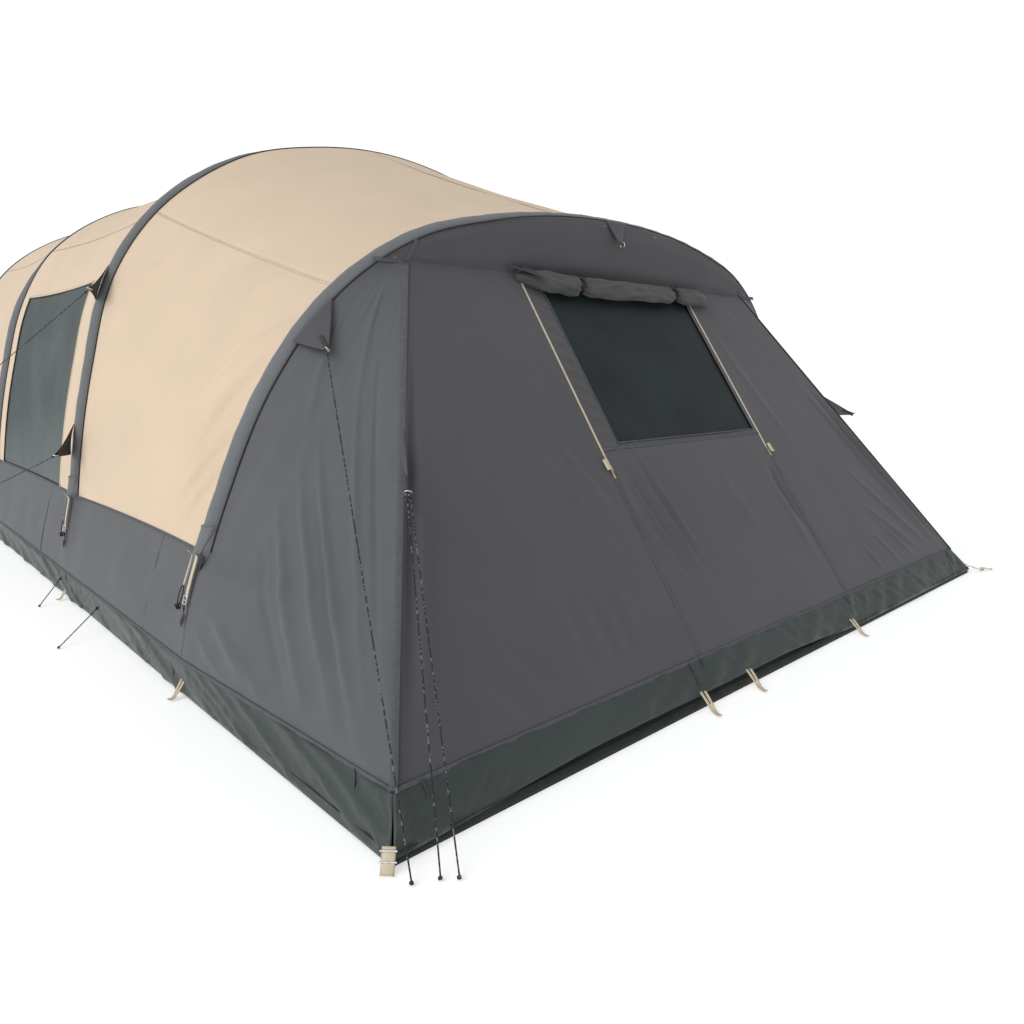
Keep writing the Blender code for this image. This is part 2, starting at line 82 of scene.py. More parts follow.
FRONT_FACE = DOOR_HIGH[1]
BAYS = (("rear_bay", "rear", "middle"), ("centre_bay", "middle", "third"), ("front_bay", "third", "front"))
DETAIL = 1.0
SIDES = ((-1, "left"), (1, "right"))
UP = Vector((0.0, 0.0, 1.0))
FORWARD = Vector((0.0, 1.0, 0.0))

# ---- camera ----------------------------------------------------------------------------------------
camera_data = bpy.data.cameras.new("camera")
camera_data.lens = 27.14
camera_data.sensor_width = 36.0
camera = bpy.data.objects.new("camera", camera_data)
camera.location = (-2.613, REAR_Y - 1.275, 1.067)
camera.rotation_euler = (math.radians(90 - 10.8), 0.0, math.radians(-42.4))
bpy.context.collection.objects.link(camera)
bpy.context.scene.camera = camera


# ---- materials -------------------------------------------------------------------------------------
THREADS = 900.0               # threads to the metre
SLUB = 0.06                   # thickness of a thread over the length of its slubs
DUST_HEIGHT = 0.16
DUST_COLOUR = (0.30, 0.28, 0.24, 1)
STITCHES = 240.0              # stitches to the metre
RIBS = 160.0                  # scale of a webbing's ribs
BRAID = 700.0                 # scale of a cord's braid


class Material:
    """A Principled material, and short ways to add nodes to it."""

    def __init__(self, name, colour, roughness, metallic=0.0):
        self.data = bpy.data.materials.new(name)
        self.data.use_nodes = True
        tree = self.data.node_tree
        self.nodes, self.links, self.shader = tree.nodes, tree.links, tree.nodes["Principled BSDF"]
        self.surface({"Base Color": (*colour, 1), "Roughness": roughness, "Metallic": metallic})
        coords = self.nodes.new("ShaderNodeTexCoord")
        self.uv, self.object = coords.outputs["UV"], coords.outputs["Object"]

    def plug(self, node, inputs):
        """Link each input to the socket given for it, or set it to the value given."""
        for key, value in inputs.items():
            if isinstance(value, bpy.types.NodeSocket):
                self.links.new(value, node.inputs[key])
            else:
                node.inputs[key].default_value = value
        return node

    def surface(self, inputs):
        self.plug(self.shader, inputs)

    def add(self, kind, inputs, **settings):
        node = self.nodes.new(f"ShaderNode{kind}")
        for key, value in settings.items():
            setattr(node, key, value)
        return self.plug(node, inputs)

    def scaled_uv(self, along, across):
        return self.add("Mapping", {"Vector": self.uv, "Scale": (along, across, 1)}).outputs["Vector"]

    def noise(self, vector, scale, detail=3.0, roughness=0.55):
        inputs = {"Vector": vector, "Scale": scale, "Detail": detail, "Roughness": roughness}
        return self.add("TexNoise", inputs).outputs["Fac"]

    def maths(self, kind, a, b=0.0):
        return self.add("Math", {0: a, 1: b}, operation=kind).outputs["Value"]

    def sum_of(self, a, share_a, b, share_b):
        return self.maths("ADD", self.maths("MULTIPLY", a, share_a), self.maths("MULTIPLY", b, share_b))

    def ramp(self, fac, low, high, start, end):
        """From colour low to colour high as fac goes from start to end."""
        ramp = self.add("ValToRGB", {"Fac": fac})
        for stop, place, colour in zip(ramp.color_ramp.elements, (start, end), (low, high)):
            stop.position, stop.color = place, (*colour, 1)
        return ramp.outputs["Color"]

    def tones(self, fac, colour, low, high, start=0.3, end=0.7):
        """The colour times low to the colour times high."""
        low, high = (tuple(min(1.0, c * factor) for c in colour) for factor in (low, high))
        return self.ramp(fac, low, high, start, end)

    def mixed(self, factor, a, b):
        return self.add("Mix", {"Factor": factor, "A": a, "B": b}, data_type="RGBA").outputs["Result"]

    def bump(self, height, strength, distance, under=None):
        node = self.add("Bump", {"Strength": strength, "Distance": distance, "Height": height})
        if under:
            self.plug(node, {"Normal": under})
        return node.outputs["Normal"]

    def uneven(self, fac, spread, roughness):
        """Roughness that varies with fac, by spread in all."""
        self.surface({"Roughness": self.maths("ADD", self.maths("MULTIPLY", fac, spread), roughness - spread / 2)})


def cloth_material(name, colour, roughness, sheen, mottle, weave, crinkle=0.0, coat=0.0, dirt=0.0):
    """Woven cloth: slubby threads both ways, soft mottling, optional fine crinkles, dusty lower edge."""
    m = Material(name, colour, roughness)
    m.surface({"Sheen Weight": sheen, "Sheen Roughness": 0.5, "Specular IOR Level": 0.3,
               "Coat Weight": coat, "Coat Roughness": 0.35})
    warp = m.noise(m.scaled_uv(THREADS, THREADS * SLUB), 1.0, 2.0)
    weft = m.noise(m.scaled_uv(THREADS * SLUB, THREADS), 1.0, 2.0)
    threads = m.maths("ADD", warp, weft)
    cloud = m.noise(m.object, 2.3, 5.0, 0.6)
    base = m.tones(m.sum_of(threads, 0.30, cloud, 0.70), colour, 1 - mottle, 1 + mottle, 0.40, 0.78)
    if dirt > 0:
        height = m.add("SeparateXYZ", {"Vector": m.object}).outputs["Z"]
        low = m.add("MapRange", {"Value": height, "From Min": 0.0, "From Max": DUST_HEIGHT, "To Min": dirt,
                                 "To Max": 0.0}).outputs["Result"]
        base = m.mixed(m.maths("MULTIPLY", low, m.noise(m.object, 14.0, 6.0, 0.65)), base, DUST_COLOUR)
    m.uneven(cloud, 0.16, roughness)
    normal = m.bump(threads, weave, 0.0006)
    if crinkle > 0:
        normal = m.bump(m.noise(m.object, 26.0, 6.0, 0.62), crinkle, 0.012, normal)
    m.surface({"Base Color": base, "Normal": normal})
    return m.data


def seam_material(name, colour, thread_colour):
    """Folded seam with two rows of stitches near its edges; UV x is in metres, y from 0 to 1 across."""
    m = Material(name, colour, 0.85)
    split = m.add("SeparateXYZ", {"Vector": m.uv}).outputs
    dash = m.maths("LESS_THAN", m.maths("FRACT", m.maths("MULTIPLY", split["X"], STITCHES)), 0.62)
    rows = [m.maths("LESS_THAN", m.maths("ABSOLUTE", m.maths("SUBTRACT", split["Y"], place)), 0.05)
            for place in (0.22, 0.78)]
    stitch = m.maths("MULTIPLY", dash, m.maths("MAXIMUM", *rows))
    cloud = m.noise(m.object, 60.0, 4.0)
    base = m.mixed(stitch, m.tones(cloud, colour, 0.82, 1.15), (*thread_colour, 1))
    height = m.maths("ADD", stitch, m.maths("MULTIPLY", cloud, 0.6))
    m.surface({"Base Color": base, "Normal": m.bump(height, 0.5, 0.001)})
    return m.data


def webbing_material(name, colour):
    """Flat woven strap: ribs across it."""
    m = Material(name, colour, 0.7)
    wave = m.add("TexWave", {"Vector": m.uv, "Scale": RIBS, "Distortion": 1.5}, bands_direction="DIAGONAL")
    tone = m.sum_of(wave.outputs["Fac"], 0.4, m.noise(m.object, 90.0, 4.0), 0.6)
    m.surface({"Base Color": m.tones(tone, colour, 0.72, 1.1), "Normal": m.bump(tone, 0.5, 0.001),
               "Sheen Weight": 0.2})
    return m.data


def film_material(name, colour, roughness, variation=0.35):
    """Tinted window film: smooth with faint ripples and a soft haze."""
    m = Material(name, colour, roughness)
    haze = m.noise(m.object, 3.2, 5.0, 0.6)
    m.uneven(haze, 0.2, roughness)
    grain = m.bump(m.noise(m.scaled_uv(420, 420), 1.0, 1.0), 0.15, 0.001)
    m.surface({"Base Color": m.tones(haze, colour, 1 - variation, 1 + variation), "Specular IOR Level": 0.25,
               "Normal": m.bump(m.noise(m.object, 5.0, 2.0), 0.25, 0.02, grain)})
    return m.data


def hard_material(name, colour, roughness, metallic):
    """Moulded plastic or plated metal with worn, uneven gloss."""
    m = Material(name, colour, roughness, metallic)
    wear = m.noise(m.object, 120.0, 5.0, 0.6)
    m.uneven(wear, 0.3, roughness)
    m.surface({"Base Color": m.tones(wear, colour, 0.7, 1.15), "Normal": m.bump(wear, 0.15, 0.0005)})
    return m.data


def cord_material(name, colour, fleck):
    """Braided cord with pale reflective flecks."""
    m = Material(name, colour, 0.75)
    braid = m.add("TexVoronoi", {"Vector": m.object, "Scale": BRAID}).outputs["Distance"]
    base = m.ramp(m.noise(m.object, 120.0, 1.0), colour, fleck, 0.54, 0.60)
    m.surface({"Base Color": base, "Normal": m.bump(braid, 0.6, 0.0006)})
    return m.data


BEIGE = cloth_material("beige_polycotton", (0.665, 0.525, 0.385), 0.88, 0.10, 0.055, 0.35)
GREY = cloth_material("grey_polycotton", (0.082, 0.081, 0.086), 0.86, 0.12, 0.09, 0.35)
# Painted light: the same grey cloth as GREY, made lighter for the lower side walls and corner panels, for the
# stronger light on these faces.
LIT_COPY_GREY = cloth_material("grey_polycotton_painted_light", (0.102, 0.104, 0.110), 0.86, 0.12, 0.09, 0.35)
SLEEVE = cloth_material("sleeve_polyester", (0.140, 0.146, 0.154), 0.72, 0.15, 0.10, 0.30, crinkle=0.25)
SKIRT = cloth_material("coated_skirt", (0.036, 0.048, 0.045), 0.42, 0.03, 0.20, 0.15, crinkle=0.30, coat=0.06,
                       dirt=0.10)
TUB = cloth_material("groundsheet_pe", (0.016, 0.020, 0.020), 0.55, 0.0, 0.2, 0.3, crinkle=0.3, dirt=0.08)
GREY_SEAM = seam_material("grey_seam", (0.082, 0.086, 0.096), (0.125, 0.130, 0.142))
ROLL_GREY = cloth_material("roll_lining", (0.074, 0.072, 0.074), 0.86, 0.12, 0.12, 0.35)
# Painted shade: a darker, bluer grey for the window cover's folded-back corner, whose side lies in shadow.
SHADOW_SIDE_GREY = cloth_material("grey_shadow_side", (0.042, 0.046, 0.056), 0.86, 0.10, 0.12, 0.35)
BEIGE_SEAM = seam_material("beige_seam", (0.62, 0.49, 0.36), (0.74, 0.62, 0.47))
# Near-black cloth of the sleeves' piping, its real colour; the guy flaps by the middle beam take it too as painted
# shade, for their inner sides in shadow.
PIPING_AND_FLAP_SHADE = cloth_material("dark_piping_and_flap_shade", (0.030, 0.028, 0.030), 0.8, 0.1, 0.2, 0.3)
WEBBING = webbing_material("beige_webbing", (0.66, 0.55, 0.40))
BLACK_WEBBING = webbing_material("black_webbing", (0.022, 0.022, 0.024))
REAR_FILM = film_material("rear_window_film", (0.014, 0.020, 0.022), 0.50)
SIDE_FILM = film_material("side_window_film", (0.055, 0.072, 0.070), 0.42)
METAL = hard_material("plated_metal", (0.62, 0.61, 0.58), 0.32, 1.0)
PLASTIC = hard_material("black_plastic", (0.018, 0.018, 0.020), 0.45, 0.0)
CORD = cord_material("guy_cord", (0.012, 0.013, 0.014), (0.15, 0.16, 0.16))
BLADDER = film_material("bladder_tpu", (0.50, 0.53, 0.56), 0.35, 0.1)
SLIDER_METAL = hard_material("zip_slider_metal", (0.55, 0.48, 0.36), 0.38, 0.6)
# Slot names, each with its materials; link looks a piece's slot up here unless a call names another.
SLOTS = {
    "beige_fabric": (BEIGE, BEIGE_SEAM, WEBBING), "sleeve_fabric": (SLEEVE,), "skirt_fabric": (SKIRT,),
    "grey_fabric": (GREY, LIT_COPY_GREY, ROLL_GREY, SHADOW_SIDE_GREY, GREY_SEAM, PIPING_AND_FLAP_SHADE), "groundsheet_film": (TUB,),
    "window_film": (REAR_FILM, SIDE_FILM), "zip_metal": (METAL,), "valve_plastic": (PLASTIC,),
    "guy_cord": (CORD, BLACK_WEBBING),
}


# ---- mesh helpers ----------------------------------------------------------------------------------
def lerp(a, b, t):
    return a + (b - a) * t


def turns(count):
    """Angles of count steps round a full turn."""
    return [2 * math.pi * k / count for k in range(count)]


def along(at, steps):
    """Points at(0) to at(1), in equal steps."""
    return [at(k / steps) for k in range(steps + 1)]


def link(obj, mat, slot=None, replaced=(), body="root"):
    obj.data.materials.append(mat)
    bpy.context.collection.objects.link(obj)
    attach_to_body(obj, body)
    slot = slot or next(name for name, mats in SLOTS.items() if mat in mats)
    if replaced:
        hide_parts(*replaced)
    return obj


def paint(node, mat):
    """Give a solid that stays as it was packed its material."""
    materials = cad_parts[node].data.materials
    materials.clear()
    materials.append(mat)


def mesh_object(name, verts, faces, uv):
    """Smooth mesh; uv(number) is where a vertex lies in metres."""
    mesh = bpy.data.meshes.new(name)
    mesh.from_pydata(verts, [], faces)
    layer = mesh.uv_layers.new(name="UVMap")
    for loop in mesh.loops:
        layer.data[loop.index].uv = uv(loop.vertex_index)
    mesh.shade_smooth()
    return bpy.data.objects.new(name, mesh)


def thicken(obj, thickness, offset):
    solid = obj.modifiers.new("thickness", "SOLIDIFY")
    solid.thickness, solid.offset = thickness, offset


def fade(s, t, width_s, width_t):
    """1 in the middle of a panel, falling smoothly to 0 at its sewn edges."""
    def one(x, w):
        k = min(1.0, max(0.0, min(x, 1 - x) / w))
        return k * k * (3 - 2 * k)
    return one(s, width_s) * one(t, width_t)


def crease(s, t, start, end, width, depth):
    """Long soft fold between two points of a panel, given as shares of its sides."""
    ax, ay = start
    bx, by = end
    dx, dy = bx - ax, by - ay
    length2 = dx * dx + dy * dy
    k = ((s - ax) * dx + (t - ay) * dy) / length2
    along = min(1.0, max(0.0, k))
    gap2 = (s - ax - dx * along) ** 2 + (t - ay - dy * along) ** 2
    taper = math.sin(math.pi * min(0.97, max(0.03, along)))
    return depth * taper * math.exp(-gap2 / (width * width))

def creases(s, t, lines):
    return sum(crease(s, t, *line) for line in lines)


def ripple(s, t, seed, across, along, height):
    """Smooth uneven tension ripples, longer one way than the other."""
    return height * noise.noise(Vector((s * across + seed, t * along - seed, seed * 1.7)))


def cloth(name, place, nu, nv, mat, replaced=(), slot=None, body="root", relief=None, hole=None,
          thickness=0.0012):
    """Sheet of cloth from place(s, t), pushed along its normal by relief(s, t), with UVs in metres."""
    nu, nv = max(4, int(nu * DETAIL)), max(4, int(nv * DETAIL))
    points = [[Vector(place(i / nu, j / nv)) for i in range(nu + 1)] for j in range(nv + 1)]

    def normal(i, j):
        across = points[j][min(i + 1, nu)] - points[j][max(i - 1, 0)]
        up = points[min(j + 1, nv)][i] - points[max(j - 1, 0)][i]
        return across.cross(up).normalized()
    centre = points[nv // 2][nu // 2]
    inside = Vector((0.0, centre.y * 0.9, min(0.5, centre.z * 0.5)))
    sign = 1 if normal(nu // 2, nv // 2).dot(centre - inside) > 0 else -1
    verts, faces = [], []
    for j in range(nv + 1):
        for i in range(nu + 1):
            push = relief(i / nu, j / nv) if relief else 0.0
            verts.append(points[j][i] + normal(i, j) * sign * push)
    for j in range(nv):
        for i in range(nu):
            if hole and hole((i + 0.5) / nu, (j + 0.5) / nv):
                continue
            a = j * (nu + 1) + i
            quad = (a, a + 1, a + nu + 2, a + nu + 1)
            faces.append(quad if sign > 0 else tuple(reversed(quad)))
    width = max(sum((row[i + 1] - row[i]).length for i in range(nu)) for row in points)
    length = max(sum((points[j + 1][i] - points[j][i]).length for j in range(nv)) for i in (0, nu // 2, nu))

    def uv(number):
        j, i = divmod(number, nu + 1)
        return i / nu * width, j / nv * length
    obj = mesh_object(name, verts, faces, uv)
    thicken(obj, thickness, -1)
    link(obj, mat, slot, replaced, body)
    return obj


def tube(name, points, radius, mat, slot=None, cyclic=False, replaced=(), sides=3):
    curve = bpy.data.curves.new(name, "CURVE")
    curve.dimensions = "3D"
    curve.bevel_depth = radius
    curve.bevel_resolution = sides
    curve.use_fill_caps = not cyclic
    spline = curve.splines.new("POLY")
    spline.points.add(len(points) - 1)
    spline.use_cyclic_u = cyclic
    for spot, p in zip(spline.points, points):
        spot.co = (*p, 1.0)
    return link(bpy.data.objects.new(name, curve), mat, slot, replaced)


ACROSS = (-1.0, -0.82, 0.0, 0.82, 1.0)   # a ribbon's section: two edges, two shoulders and the middle


def ribbon(name, points, outs, width, mat, slot=None, body="root", thickness=0.0012, lift=0.0008):
    """Flat strap or seam along points; outs are its face normals. UV x is in metres, y from 0 to 1 across."""
    verts, faces, travelled = [], [], [0.0]
    count, wide = len(points), len(ACROSS)
    for i, (p, out) in enumerate(zip(points, outs)):
        ahead = (points[min(i + 1, count - 1)] - points[max(i - 1, 0)]).normalized()
        side = ahead.cross(out).normalized() * width / 2
        up = side.cross(ahead).normalized()
        rise = up if up.dot(out) > 0 else -up
        for k in ACROSS:
            crown = lift + (0.0 if abs(k) == 1 else thickness)
            verts.append(p + side * k + rise * crown)
        if i:
            travelled.append(travelled[-1] + (p - points[i - 1]).length)
            for a in range((i - 1) * wide, i * wide - 1):
                faces.append((a, a + 1, a + wide + 1, a + wide))
    obj = mesh_object(name, verts, faces, lambda n: (travelled[n // wide], n % wide / (wide - 1)))
    thicken(obj, 0.0008, 0)
    return link(obj, mat, slot, body=body)


def seam(name, at, steps, out, width, mat=GREY_SEAM, **more):
    """Ribbon along at(0) to at(1); out is its face's normal, or a function that gives it for a point."""
    points = along(at, steps)
    outs = [out(p) if callable(out) else out for p in points]
    ribbon(name, points, outs, width, mat, **more)


def torus(name, centre, normal, radius, thick, mat):
    side = normal.cross(Vector((0.2, 0.3, 1.0))).normalized()
    across = normal.cross(side).normalized()
    points = [centre + (side * math.cos(a) + across * math.sin(a)) * radius for a in turns(28)]
    tube(name, points, thick, mat, cyclic=True)


def ring_mesh(name, rings, mat, replaced=()):
    """Bridge equal rings of points and close both ends; UV is in metres along and around."""
    sides = len(rings[0])
    last = (len(rings) - 1) * sides
    faces = [(i + j, i + (j + 1) % sides, i + sides + (j + 1) % sides, i + sides + j)
             for i in range(0, last, sides) for j in range(sides)]
    faces += [tuple(reversed(range(sides))), tuple(range(last, last + sides))]
    step = (rings[1][0] - rings[0][0]).length
    around = sum((rings[0][j] - rings[0][j - 1]).length for j in range(1, sides))
    obj = mesh_object(name, [p for ring in rings for p in ring], faces,
                      lambda n: (n // sides * step, n % sides / sides * around))
    return link(obj, mat, replaced=replaced)


# ---- the shape of the beams and of the fabric between them -----------------------------------------
def beam_radius(radii, angle):
    knots = list(radii) + list(radii[-2::-1])
    last = len(knots) - 1
    place = min(max(angle / math.pi * last, 0.0), float(last))
    k = min(int(place), last - 1)
    t = place - k
    p0, p3 = knots[max(k - 1, 0)], knots[min(k + 2, last)]
    p1, p2 = knots[k], knots[k + 1]
    m1, m2 = (p2 - p0) / 2, (p3 - p1) / 2
    return ((2 * t ** 3 - 3 * t ** 2 + 1) * p1 + (t ** 3 - 2 * t ** 2 + t) * m1
            + (3 * t ** 2 - 2 * t ** 3) * p2 + (t ** 3 - t ** 2) * m2)


def arch_point(beam, angle, out=0.0, shift_y=0.0):
    y, lean, radii = BEAMS[beam]
    r = beam_radius(radii, angle) + out
    z = r * math.sin(angle)
    return Vector((-r * math.cos(angle), y + lean * z + shift_y, z))


def angle_at_height(beam, height, out=0.0):
    low, high = 0.0, math.pi / 2
    for _ in range(40):
        mid = (low + high) / 2
        if arch_point(beam, mid, out).z < height:
            low = mid
        else:
            high = mid
    return high


def leg_point(beam, height, side, out=0.0, shift_y=0.0):
    p = arch_point(beam, angle_at_height(beam, height, out), out, shift_y)
    return Vector((side * abs(p.x), p.y, height))


def beam_frame(beam, angle):
    """Centre, in-plane outward normal and plane normal of a beam at an angle."""
    centre = arch_point(beam, angle)
    plane = Vector((0.0, 1.0, -BEAMS[beam][1])).normalized()
    ahead = arch_point(beam, angle + 0.01) - arch_point(beam, angle - 0.01)
    outward = plane.cross(ahead).normalized()
    if outward.dot(centre - Vector((0, centre.y, 0.3))) < 0:
        outward = -outward
    return centre, outward, plane


# Angles between which the fabric climbs from PANEL_OUT to nearly the sleeve's outer skin.
CLIMBS = {"rear": (60, 80, 0.020), "middle": (58, 76, 0.035), "third": (42, 55, 0.038), "front": (42, 55, 0.038)}


def attach(beam, angle):
    """How far outside a beam's centreline, and how far from its plane, fabric meets the sleeve."""
    start, end, high = CLIMBS[beam]
    k = (math.degrees(min(angle, math.pi - angle)) - start) / (end - start)
    k = min(1.0, max(0.0, k))
    out = lerp(PANEL_OUT, high, k * k * (3 - 2 * k))
    return out, math.sqrt(SLEEVE_R ** 2 - out ** 2) + 0.0003


JOIN = attach("rear", 0.0)[1]


def bay_point(near, far, u, angle, near_angle=None):
    near_angle = angle if near_angle is None else near_angle
    out, join = attach(near, near_angle)
    a = arch_point(near, near_angle, out, join)
    out, join = attach(far, angle)
    b = arch_point(far, angle, out, -join)
    p = a.lerp(b, u)
    sag = 1 - BAY_SAG * 4 * u * (1 - u)
    return Vector((p.x * sag, p.y, p.z * sag))


def hip_x(z):
    return lerp(HALF_WIDTH, HIP_TOP_X, z / GABLE_SEAM)


def gable_point(x, z, out=0.0):
    """Point of the sloping rear wall, out along its normal."""
    scale = math.hypot(1.0, GABLE_RISE)
    return Vector((x, REAR_Y + GABLE_RISE * z - out / scale, z + out * GABLE_RISE / scale))


GABLE_OUT = Vector((0.0, -1.0, GABLE_RISE)).normalized()
GABLE_UP = Vector((0.0, GABLE_RISE, 1.0)).normalized()
BULGE = 0.034                 # how far the wall swells over a beam, at the wall's top


def wall_x(y, z):
    """Half width of the lower side wall: straight along the skirt, bulging over the beams higher up."""
    names = list(BEAMS)
    ys = [BEAMS[n][0] + BEAMS[n][1] * WALL_TOP for n in names]
    k = max(0, min(2, sum(1 for v in ys[1:] if y > v)))
    u = min(1.0, max(0.0, (y - ys[k]) / (ys[k + 1] - ys[k])))
    top = lerp(*(abs(leg_point(n, WALL_TOP, -1).x) for n in names[k:k + 2]), u)
    bump = max(math.exp(-((y - v) / 0.062) ** 2) for v in ys)
    top += PANEL_OUT + BULGE * bump - BAY_SAG * 4 * u * (1 - u) * top * (1 - bump)
    t = (z - SKIRT_TOP) / (WALL_TOP - SKIRT_TOP)
    return lerp(HALF_WIDTH + 0.002, top, max(0.0, t) ** 1.25)


# ---- guy lines -------------------------------------------------------------------------------------
def local(x, y, z):
    return Vector((x, REAR_Y + y, z))


CORD_R = 0.0020
GUY_LINES = {
    "guy_line_arch": (local(-1.390, 0.916, 1.112), local(-1.800, -0.075, 0.006)),
    "guy_line_corner_a": (local(-1.419, 0.459, 0.718), local(-1.746, -0.103, 0.006)),
    "guy_line_corner_b": (local(-1.409, 0.459, 0.718), local(-1.715, -0.128, 0.006)),
    "guy_line_middle_high": (local(-1.608, 2.618, 1.392), local(-2.960, 4.100, 0.006)),
    "guy_line_middle_low": (local(-1.806, 2.630, 0.668), local(-2.600, 4.250, 0.006)),
    "guy_line_side_a": (local(-1.815, 2.720, 0.095), local(-1.940, 2.600, 0.006)),
    "guy_line_side_b": (local(-1.815, 2.110, 0.095), local(-2.005, 1.958, 0.006)),
}


def knot(name, centre, ahead, size):
    """Figure-of-eight knot as a tight trefoil of cord."""
    ahead = ahead.normalized()
    side = ahead.cross(Vector((0.3, 0.2, 1.0))).normalized()
    across = ahead.cross(side)
    points = [centre + ahead * size * 0.55 * math.sin(3 * a)
              + side * size * (math.sin(a) + 1.1 * math.sin(2 * a)) * 0.4
              + across * size * (math.cos(a) - 1.1 * math.cos(2 * a)) * 0.4 for a in turns(36)]
    return tube(name, points, CORD_R * 1.1, CORD, cyclic=True)


def make_guy_lines():
    for name, (start, end) in GUY_LINES.items():
        ahead = end - start
        sag = 0.004 * ahead.length
        points = along(lambda t: start.lerp(end, t) - UP * (sag * 4 * t * (1 - t)), 24)
        line = tube(f"{name}_cord", points, CORD_R, CORD, replaced=(name,), sides=2)
        pieces = [knot(f"{name}_knot_top", points[0] + ahead.normalized() * 0.016, ahead, 0.006),
                  knot(f"{name}_knot_end", points[-1] + UP * 0.001, ahead, 0.0045)]
        length = sum((b - a).length for a, b in zip(points, points[1:]))


make_guy_lines()


# ---- beams: sleeves, piping, inner tubes and valve caps --------------------------------------------
def make_sleeve(beam):
    start = angle_at_height(beam, 0.014)
    steps = int(150 * DETAIL)
    rings = []
    for i in range(steps + 1):
        centre, outward, plane = beam_frame(beam, lerp(start, math.pi - start, i / steps))
        ring = []
        for k, turn in enumerate(turns(24)):
            pucker = 0.0009 * math.sin(i * 1.9 + 2.0 * math.sin(k * 0.7)) + 0.0018 * noise.noise(
                Vector((i * 0.21, k * 0.45, len(beam))))
            radius = SLEEVE_R - 0.001 + pucker
            ring.append(centre + outward * radius * math.cos(turn) + plane * radius * math.sin(turn))
        rings.append(ring)
    obj = ring_mesh(f"beam_sleeve_{beam}", rings, SLEEVE, replaced=(f"sleeve_{beam}",))
    first = angle_at_height(beam, WALL_TOP + 0.004)
    for label, side in (("near", -1), ("far", 1)):
        def edge(t, side=side):
            angle = lerp(first, math.pi - first, t)
            out, join = attach(beam, angle)
            return arch_point(beam, angle, out + 0.002, side * join)
        tube(f"piping_{beam}_{label}", along(edge, 120), 0.0028, PIPING_AND_FLAP_SHADE, slot="sleeve_fabric", sides=2)


for beam_name in BEAMS:
    make_sleeve(beam_name)
    paint(f"bladder_{beam_name}", BLADDER)
    paint(f"valve_cap_{beam_name}", PLASTIC)


# ---- beige bays ------------------------------------------------------------------------------------
# Creases pulled down and forward from the rear beam: start, end, width and depth.
REAR_SIDE_LINES = (((0.01, 0.86), (0.30, 0.42), 0.017, 0.020), ((0.02, 0.70), (0.22, 0.34), 0.014, 0.023),
                   ((0.03, 0.60), (0.26, 0.20), 0.013, -0.014), ((0.01, 0.46), (0.24, 0.08), 0.015, 0.023),
                   ((0.01, 0.33), (0.18, 0.02), 0.012, 0.019), ((0.70, 0.98), (0.95, 0.55), 0.019, 0.012),
                   ((0.35, 0.98), (0.42, 0.70), 0.014, 0.009), ((0.20, 0.99), (0.26, 0.86), 0.010, 0.012))


PANE_SIDES = (0.165, 0.930)   # share of the bay's width and height taken by the side window
PANE_HEAD = 0.765


def pane_hole(s, t):
    return PANE_SIDES[0] < s < PANE_SIDES[1] and t < PANE_HEAD


def make_bay(bay, near, far, seed):
    near_seam = REAR_SEAM if near == "rear" else ROOF_SEAM
    low_near, low_far = (angle_at_height(beam, WALL_TOP - 0.004, PANEL_OUT) for beam in (near, far))
    lines = REAR_SIDE_LINES if bay == "rear_bay" else ()
    for side, label in SIDES:
        def place(s, t, side=side):
            p = bay_point(near, far, s, lerp(low_far, ROOF_SEAM, t), lerp(low_near, near_seam, t))
            return Vector((side * abs(p.x), p.y, p.z))

        def relief(s, t, shift=seed + side * 3.3):
            push = ripple(s, t, shift, 3.1, 1.2, 0.006) + ripple(s, t, shift + 5, 9.0, 3.0, 0.0016)
            return (push + creases(s, t, lines)) * fade(s, t, 0.04, 0.04)
        if bay == "centre_bay":
            cloth(f"side_surround_{label}", place, 118, 116, BEIGE, (f"side_window_{label}",), relief=relief,
                  hole=pane_hole)
            make_side_pane(place, relief, side, label)
        else:
            cloth(f"side_cloth_{bay}_{label}", place, 110, 110, BEIGE, (f"side_{bay}_{label}",), relief=relief)
        seam(f"roof_seam_{bay}_{label}", lambda t: place(0.005 + 0.99 * t, 1.0), 30,
             lambda p: Vector((p.x, 0.0, p.z)).normalized(), 0.007, BEIGE_SEAM, thickness=0.0006, lift=0.0002)

    def roof(s, t):
        return bay_point(near, far, s, lerp(ROOF_SEAM, math.pi - ROOF_SEAM, t),
                         lerp(near_seam, math.pi - near_seam, t))

    def roof_relief(s, t):
        push = ripple(s, t, seed + 9, 2.2, 5.0, 0.007) + ripple(s, t, seed + 2, 5.0, 11.0, 0.002)
        return push * fade(s, t, 0.10, 0.05)
    cloth(f"roof_cloth_{bay}", roof, 70, 110, BEIGE, (f"roof_{bay}",), relief=roof_relief)
    seam(f"ridge_seam_{bay}", lambda t: roof(0.005 + 0.99 * t, 0.48), 30, UP, 0.014, BEIGE_SEAM)


def make_side_pane(place, relief, side, label):
    left, right = PANE_SIDES

    def spot(s, t):
        return lerp(left - 0.007, right + 0.012, s), lerp(0.0, PANE_HEAD + 0.012, t)

    def sink(s, t):
        return relief(*spot(s, t)) - 0.004 + ripple(s, t, 3.3, 2.0, 2.5, 0.006) * fade(s, t, 0.1, 0.1)
    cloth(f"side_pane_{label}", lambda s, t: place(*spot(s, t)), 50, 50, SIDE_FILM, relief=sink)
    edge = [(left, 0.0), (left, PANE_HEAD), (right, PANE_HEAD), (right, 0.0)]
    for part, ((s0, t0), (s1, t1)) in enumerate(zip(edge, edge[1:])):
        seam(f"side_pane_hem_{label}_{part}",
             lambda t: place(lerp(s0, s1, t), lerp(t0, t1, t)) + Vector((side * 0.001, 0, 0)), 19,
             lambda p: Vector((p.x - side * 0.001, 0, p.z * 0.5)).normalized(), 0.012, BEIGE_SEAM)


for number, bay_names in enumerate(BAYS):
    make_bay(*bay_names, 2.0 + number * 11)


